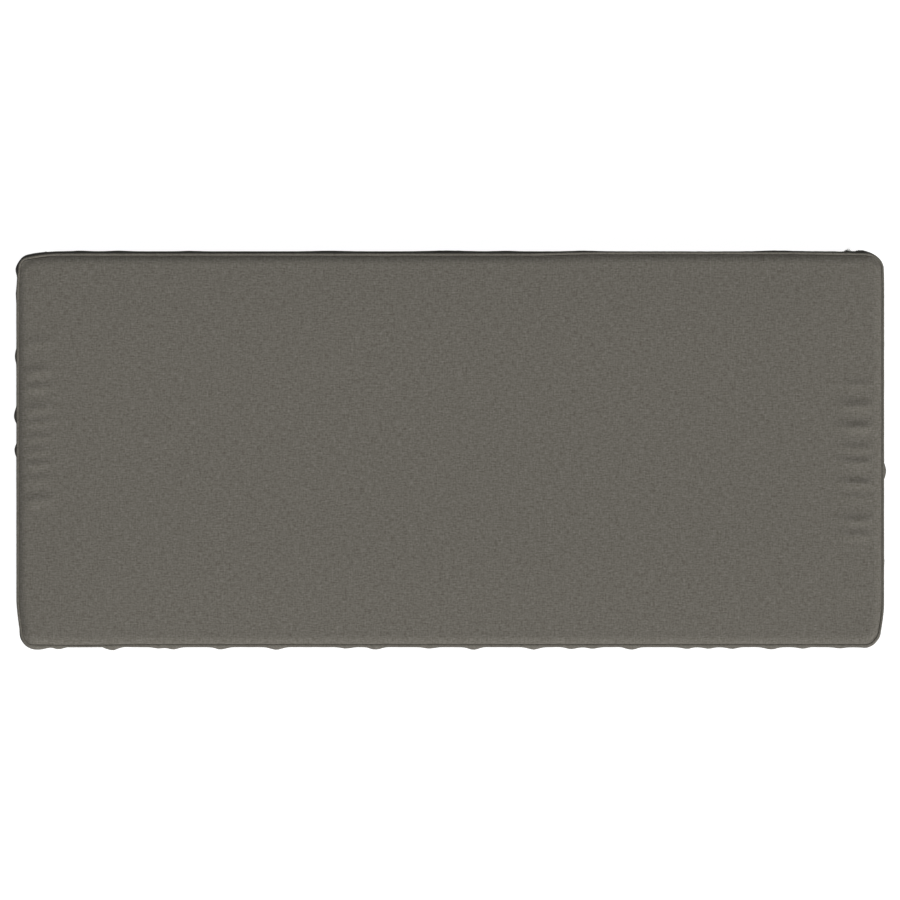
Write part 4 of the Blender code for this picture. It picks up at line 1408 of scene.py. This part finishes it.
def swept(path: Rows, sideways: Rows, upwards: Rows, section: Rows) -> Rows:
    """Carry a section along a path: point + sideways * section x + upwards * section y.

    Args:
        path: points (n, 3).
        sideways: unit vectors (n, 3).
        upwards: unit vectors (n, 3).
        section: outline (m, 2) or one for each point (n, m, 2).

    Returns:
        Points (n, m, 3).
    """
    outline = np.broadcast_to(section, (len(path), *np.shape(section)[-2:]))
    return (path[:, None, :] + sideways[:, None, :] * outline[..., :1]
            + upwards[:, None, :] * outline[..., 1:])


def rounded_rectangle(width: float, height: float, radius: float, steps: int = 4) -> Rows:
    """Outline of a rectangle with quarter-circle corners, anticlockwise, as (4 * (steps + 1), 2)."""
    turn = np.linspace(0, np.pi / 2, steps + 1)
    parts = []
    for quarter, (sign_x, sign_y) in enumerate(((1, 1), (-1, 1), (-1, -1), (1, -1))):
        angle = turn + quarter * np.pi / 2
        parts.append(np.stack([sign_x * (width / 2 - radius) + radius * np.cos(angle),
                               sign_y * (height / 2 - radius) + radius * np.sin(angle)], axis=1))
    return np.concatenate(parts)


def tube_faces(rings: int, sides: int, closed: bool) -> list[list[int]]:
    """Faces of a tube of rings: quads, and a cap at each end if it isn't closed into a loop."""
    faces = grid_faces(rings, sides, closed, True).tolist()
    if not closed:
        faces.append(list(range(sides))[::-1])
        faces.append(list(range((rings - 1) * sides, rings * sides)))
    return faces


def joined(name: str, parts: list[tuple[Rows, list[list[int]]]]) -> Piece:
    """Make one object of several closed shapes, each given as its points and faces."""
    points, faces, start = [], [], 0
    for shape, shape_faces in parts:
        flat = np.asarray(shape).reshape(-1, 3)
        points.append(flat)
        faces += [[corner + start for corner in face] for face in shape_faces]
        start += len(flat)
    piece = new_mesh(name, np.concatenate(points), faces)
    turn_faces_out(piece)
    return piece


class ZipPart:
    """A nylon or metal part of the zip, which stands for one solid of the frame.

    Attributes:
        node: name of the solid.
        slot: name of a material slot, which nothing in the script reads.
    """

    node: str
    slot: str = "zip_metal"

    def __post_init__(self) -> None:
        """Read the part's box from the frame."""
        self.low, self.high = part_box(self.node)
        self.middle = middle_of(self.low, self.high)

    def dress(self, piece: Piece, material: Material) -> None:
        """Give the part its finish."""
        finish_piece(piece, material, (self.node,))


@dataclass
class ZipChain(ZipPart):
    """The closed nylon coil: two rows of loops that interlock along the tapes' edges.

    Each loop is a short bent wire that starts on one tape, crosses the middle and comes back. Loop
    k of a row stands at x0 + k pitch, and the two rows are half a pitch apart.
    """

    pitch: float = 0.00150
    wire: float = 0.00034
    reach: float = 0.00060
    sides: int = 5
    node = slot = "zip_teeth"

    def loop_path(self) -> Rows:
        """One loop's middle line in its own frame: x along the chain, y out, z across it."""
        half = (self.high[2] - self.low[2]) / 2 - self.wire
        thick = (self.high[1] - self.low[1]) / 2 - self.wire
        turn = np.linspace(-np.pi / 2, np.pi / 2, 5)
        head = np.stack([np.zeros(5), thick * np.sin(turn),
                         self.reach * (0.4 + 0.6 * np.cos(turn))], axis=1)
        foot_back = np.array([[-0.30 * self.pitch, -thick, -half]])
        foot_front = np.array([[0.30 * self.pitch, thick * 0.9, -half]])
        return np.concatenate([foot_back, head, foot_front])

    def build(self) -> Piece:
        """Repeat the loop along both rows as one joined mesh."""
        path = self.loop_path()
        tangent = unit(np.gradient(path, axis=0))
        side = unit(np.cross(tangent, np.array([1.0, 0.0, 0.0])))
        angle = circle_angles(self.sides)
        section = self.wire * np.stack([np.cos(angle), np.sin(angle)], axis=1)
        loop = swept(path, side, np.cross(side, tangent), section)
        count = int((self.high[0] - self.low[0] - self.pitch) / self.pitch)
        starts = self.low[0] + self.pitch * (0.5 + np.arange(count))
        rows = []
        for way, shift in ((1.0, 0.0), (-1.0, self.pitch / 2)):
            placed = loop * (1.0, 1.0, way) + (0.0, *self.middle[1:])
            offsets = np.stack([starts + shift, np.zeros(count), np.zeros(count)], axis=1)
            rows.append(placed[None] + offsets[:, None, None, :])
        loops = np.concatenate(rows).reshape(-1, len(path) * self.sides, 3)
        one = grid_faces(len(path), self.sides, False, True)
        starts = np.arange(len(loops)) * loops.shape[1]
        quads = (one[None] + starts[:, None, None]).reshape(-1, 4)
        piece = new_mesh("zip_coil", loops, quads.tolist())
        turn_faces_out(piece, self.sides)
        return piece


@dataclass
class ZipSlider(ZipPart):
    """The slider: a shield-shaped plate with flanges round the teeth, and a bridge for the pull."""

    wall: float = 0.0010
    stations: int = 22
    corner: float = 0.0006
    node = "zip_slider"

    def body(self) -> tuple[Rows, list[list[int]]]:
        """The body: a channel section carried along X, whose half height widens towards the mouth."""
        low, high = self.low, self.high
        x = np.linspace(low[0], high[0], self.stations)
        share = (x - low[0]) / (high[0] - low[0])
        tall = (high[2] - low[2]) / 2
        half = tall * (0.62 + 0.38 * smooth_step(share / 0.8))
        half *= np.sqrt(1 - 0.22 * np.clip((0.16 - share) / 0.16, 0, 1) ** 2)
        half *= np.sqrt(1 - 0.20 * np.clip((share - 0.90) / 0.10, 0, 1) ** 2)
        root, face = low[1], low[1] + 0.0025
        inner, dome = 0.0023, 0.00035
        turn = np.linspace(0, np.pi / 2, 4)
        way_in = np.linspace(1, 0, 4)[1:]
        sections = []
        for reach in half:
            right = np.stack([reach - self.corner + self.corner * np.sin(turn[::-1]),
                              face - self.corner + self.corner * np.cos(turn[::-1])], axis=1)
            top = np.stack([np.linspace(reach - self.corner, 0.0, 4)[1:],
                            face + dome * (1 - way_in ** 2)], axis=1)
            lip_in = max(reach - self.wall, inner * min(1.0, reach / 0.0033))
            lip = [(lip_in, face - 0.0008), (lip_in, root), (reach, root)]
            half_outline = np.concatenate([lip, right, top])
            sections.append(np.concatenate([half_outline, half_outline[::-1][1:] * (-1, 1)]))
        outline = np.array(sections)
        points = np.empty((len(x), outline.shape[1], 3))
        points[..., 0] = x[:, None]
        points[..., 1] = outline[..., 1]
        points[..., 2] = self.middle[2] + outline[..., 0]
        return points, tube_faces(len(x), outline.shape[1], False)

    def bridge(self) -> tuple[Rows, list[list[int]]]:
        """The bridge: a flat bar carried along an arch, from one foot on the plate to the other."""
        foot_y, top_y = self.low[1] + 0.0021, self.high[1] - 0.00045
        half_span, flatness, count = 0.0042, 0.55, 25
        angle = np.linspace(0, np.pi, count)
        x = self.middle[0] + half_span * np.sign(np.cos(angle)) * np.abs(np.cos(angle)) ** flatness
        y = foot_y + (top_y - foot_y) * np.sin(angle) ** flatness
        path = np.stack([x, y, np.full(count, self.middle[2])], axis=1)
        across = np.tile((0.0, 0.0, 1.0), (count, 1))
        outward = np.cross(across, unit(np.gradient(path, axis=0)))
        width = 0.0022 + 0.0008 * np.abs(np.cos(angle)) ** 3
        base = rounded_rectangle(1.0, 1.0, 0.3)
        sections = base[None] * np.stack([width, np.full(count, 0.0011)], axis=1)[:, None, :]
        return swept(path, across, outward, sections), tube_faces(count, len(base), False)

    def build(self) -> Piece:
        """Join the body and the bridge."""
        piece = joined("slider", [self.body(), self.bridge()])
        add_bevel(piece, 0.00018)
        return piece


@dataclass
class PullTab(ZipPart):
    """The pull: a tapered tab with a slot near its end, hanging from an eye round the bridge's bar.

    It hangs a little to the right of the bridge's middle.
    """

    aside: float = 0.0008
    eye_wall: float = 0.0008
    eye_height: float = 0.0044
    steps: int = 64
    node = "zip_pull"

    def eye(self) -> tuple[Rows, list[list[int]]]:
        """The eye: a narrow flat section carried round a rounded rectangle in the plane across X."""
        depth = self.high[1] - self.low[1]
        loop = rounded_rectangle(depth - self.eye_wall, self.eye_height - self.eye_wall, 0.0009, 5)
        normals = loop_normals(loop)
        middle_z = self.high[2] - self.eye_height / 2
        path = np.stack([np.full(len(loop), self.middle[0] + self.aside), self.middle[1] + loop[:, 0],
                         middle_z + loop[:, 1]], axis=1)
        sideways = np.tile((1.0, 0.0, 0.0), (len(loop), 1))
        outward = np.stack([np.zeros(len(loop)), normals[:, 0], normals[:, 1]], axis=1)
        section = rounded_rectangle(0.0034, self.eye_wall, 0.00025, 2)
        return swept(path, sideways, outward, section), tube_faces(len(loop), len(section), True)

    def tab(self) -> tuple[Rows, list[list[int]]]:
        """The tab: at angle a its section spans from the outer outline to the slot's outline.

        The outer outline is a long rounded shape, narrow at the eye and wide at the end. The slot is
        a small ellipse near the end. Across the section the thickness is rounded at both edges.
        """
        top, bottom = self.high[2] - 0.0042, self.low[2]
        slot_z = bottom + 0.0052
        reach_up, reach_down = top - slot_z, slot_z - bottom
        angle = circle_angles(self.steps)
        rise, run = np.sin(angle), np.cos(angle)
        vertical = np.where(rise > 0, reach_up, reach_down) * np.sign(rise) * np.abs(rise) ** 0.75
        half_width = 0.0024 - 0.0009 * smooth_step(np.clip(vertical / reach_up, 0, 1))
        outer = np.stack([half_width * np.sign(run) * np.abs(run) ** 0.45, vertical], axis=1)
        inner = np.stack([0.0011 * run, 0.0019 * rise], axis=1)
        thickness = 0.0010
        rim = np.linspace(0, np.pi, 5)
        span = np.concatenate([0.06 * (1 - np.sin(rim)), 1 - 0.10 * (1 - np.sin(rim))])
        out = np.concatenate([-np.cos(rim), np.cos(rim)]) * thickness / 2
        across = outer[:, None, :] + (inner - outer)[:, None, :] * span[None, :, None]
        points = np.empty((self.steps, len(span), 3))
        points[..., 0] = self.middle[0] + self.aside + across[..., 0]
        points[..., 1] = self.middle[1] + out[None, :]
        points[..., 2] = slot_z + across[..., 1]
        return points, tube_faces(self.steps, len(span), True)

    def build(self) -> Piece:
        """Join the eye and the tab."""
        return joined("pull_tab", [self.eye(), self.tab()])


def dress_tapes(cloth: Material) -> None:
    """Put a finely woven finish on the two tapes, which stay as the frame has them."""
    for name in ("zip_tape_upper", "zip_tape_lower"):
        wear(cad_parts[name], cloth)
        LOG.info("%s: dressed", name)


# --- Studio ------------------------------------------------------

@dataclass
class Studio:
    """A pale floor, soft light from the front right and a camera straight above the cushion."""

    camera_height: float = 3.0
    view_width: float = 1.2445
    focus_z: float = 0.0605
    aside: tuple[float, float] = (-0.00036, 0.00044)
    sensor: float = 36.0
    key_power: float = 3.75
    top_power: float = 0.36
    sky: float = 0.04
    mirrored_sky: float = 1.1

    def camera(self) -> None:
        """Look straight down, with the cushion's back at the top of the picture."""
        made = bpy.data.cameras.new("camera")
        made.sensor_width = self.sensor
        made.lens = self.sensor * self.camera_height / self.view_width
        made.clip_start, made.clip_end = 0.05, 30.0
        holder = linked("camera", made)
        holder.location = (*self.aside, self.camera_height + self.focus_z)
        bpy.context.scene.camera = holder

    def floor(self) -> None:
        """A wide pale floor that keeps only a faint contact shadow for the camera."""
        mesh = bpy.data.meshes.new("floor")
        reach = 12.0
        corners = [(-reach, -reach, 0), (reach, -reach, 0), (reach, reach, 0), (-reach, reach, 0)]
        mesh.from_pydata(corners, [], [(0, 1, 2, 3)])
        floor = linked("floor", mesh)
        floor.location = (0.0, 0.0, -0.0002)
        material, desk, shader = new_material("pale floor")
        desk.fill(shader, {"Base Color": (0.20, 0.20, 0.20, 1.0), "Roughness": 0.9})
        glow = desk.add("ShaderNodeEmission", {"Strength": 0.97}).outputs[0]
        seen = desk.add("ShaderNodeAddShader", {0: glow, 1: shader.outputs[0]}).outputs[0]
        rays = desk.add("ShaderNodeLightPath").outputs
        pick = desk.add("ShaderNodeMixShader", {0: rays["Is Camera Ray"], 1: shader.outputs[0], 2: seen})
        desk.feed(material.node_tree.nodes["Material Output"].inputs["Surface"], pick.outputs[0])
        mesh.materials.append(material)

    def lights(self) -> None:
        """A broad sun from the front right, a very soft one from above, and an even sky."""
        for name, power, width, towards, colour in (
                ("key", self.key_power, 34.0, (0.52, -0.80, 0.88), (1.0, 0.985, 0.96)),
                ("overhead", self.top_power, 90.0, (0.0, 0.0, 1.0), (0.96, 0.98, 1.0))):
            light = bpy.data.lights.new(name, "SUN")
            light.energy = power
            light.angle = math.radians(width)
            light.color = colour
            linked(name, light).rotation_euler = Vector(towards).to_track_quat("Z", "Y").to_euler()
        world = bpy.data.worlds.new("sky")
        world.use_nodes = True
        desk = NodeDesk(world.node_tree)
        rays = desk.add("ShaderNodeLightPath").outputs
        mirrored = desk.math("MULTIPLY_ADD", rays["Is Glossy Ray"], self.mirrored_sky - self.sky, self.sky)
        seen = desk.math("MULTIPLY_ADD", rays["Is Camera Ray"], 1.0 - self.sky, mirrored)
        desk.fill(world.node_tree.nodes["Background"], {"Color": (0.96, 0.98, 1.0, 1.0), "Strength": seen})
        bpy.context.scene.world = world
        bpy.context.scene.view_settings.view_transform = "Standard"

    def build(self) -> None:
        """Set up the camera, floor and lights."""
        self.camera()
        self.floor()
        self.lights()


def main() -> None:
    """Build the cushion's pieces in order, dress them and set up the studio."""
    logging.basicConfig(level=logging.INFO, format="%(name)s: %(message)s")
    Groups.make()
    Studio().build()
    seam = SeamLine.from_frame()
    cover = Cover(seam)
    cover.dress(cover.build(), COVER_CLOTH.material())
    piping_cloth = PIPING_CLOTH.material()
    for piping in (Piping("upper_piping", "piping_top", seam, seam.top_z, 61, 0.0004),
                   Piping("lower_piping", "piping_bottom", seam, seam.bottom_z, 71)):
        piping.dress(piping.build(), piping_cloth)
    nickel = NICKEL.material()
    for part, material in ((Topstitching(cover), SEWING_THREAD.material()), (ZipChain(), NYLON.material()),
                           (ZipSlider(), nickel), (PullTab(), nickel)):
        part.dress(part.build(), material)
    dress_tapes(TAPE_CLOTH.material())


if __name__ == "__main__":
    main()
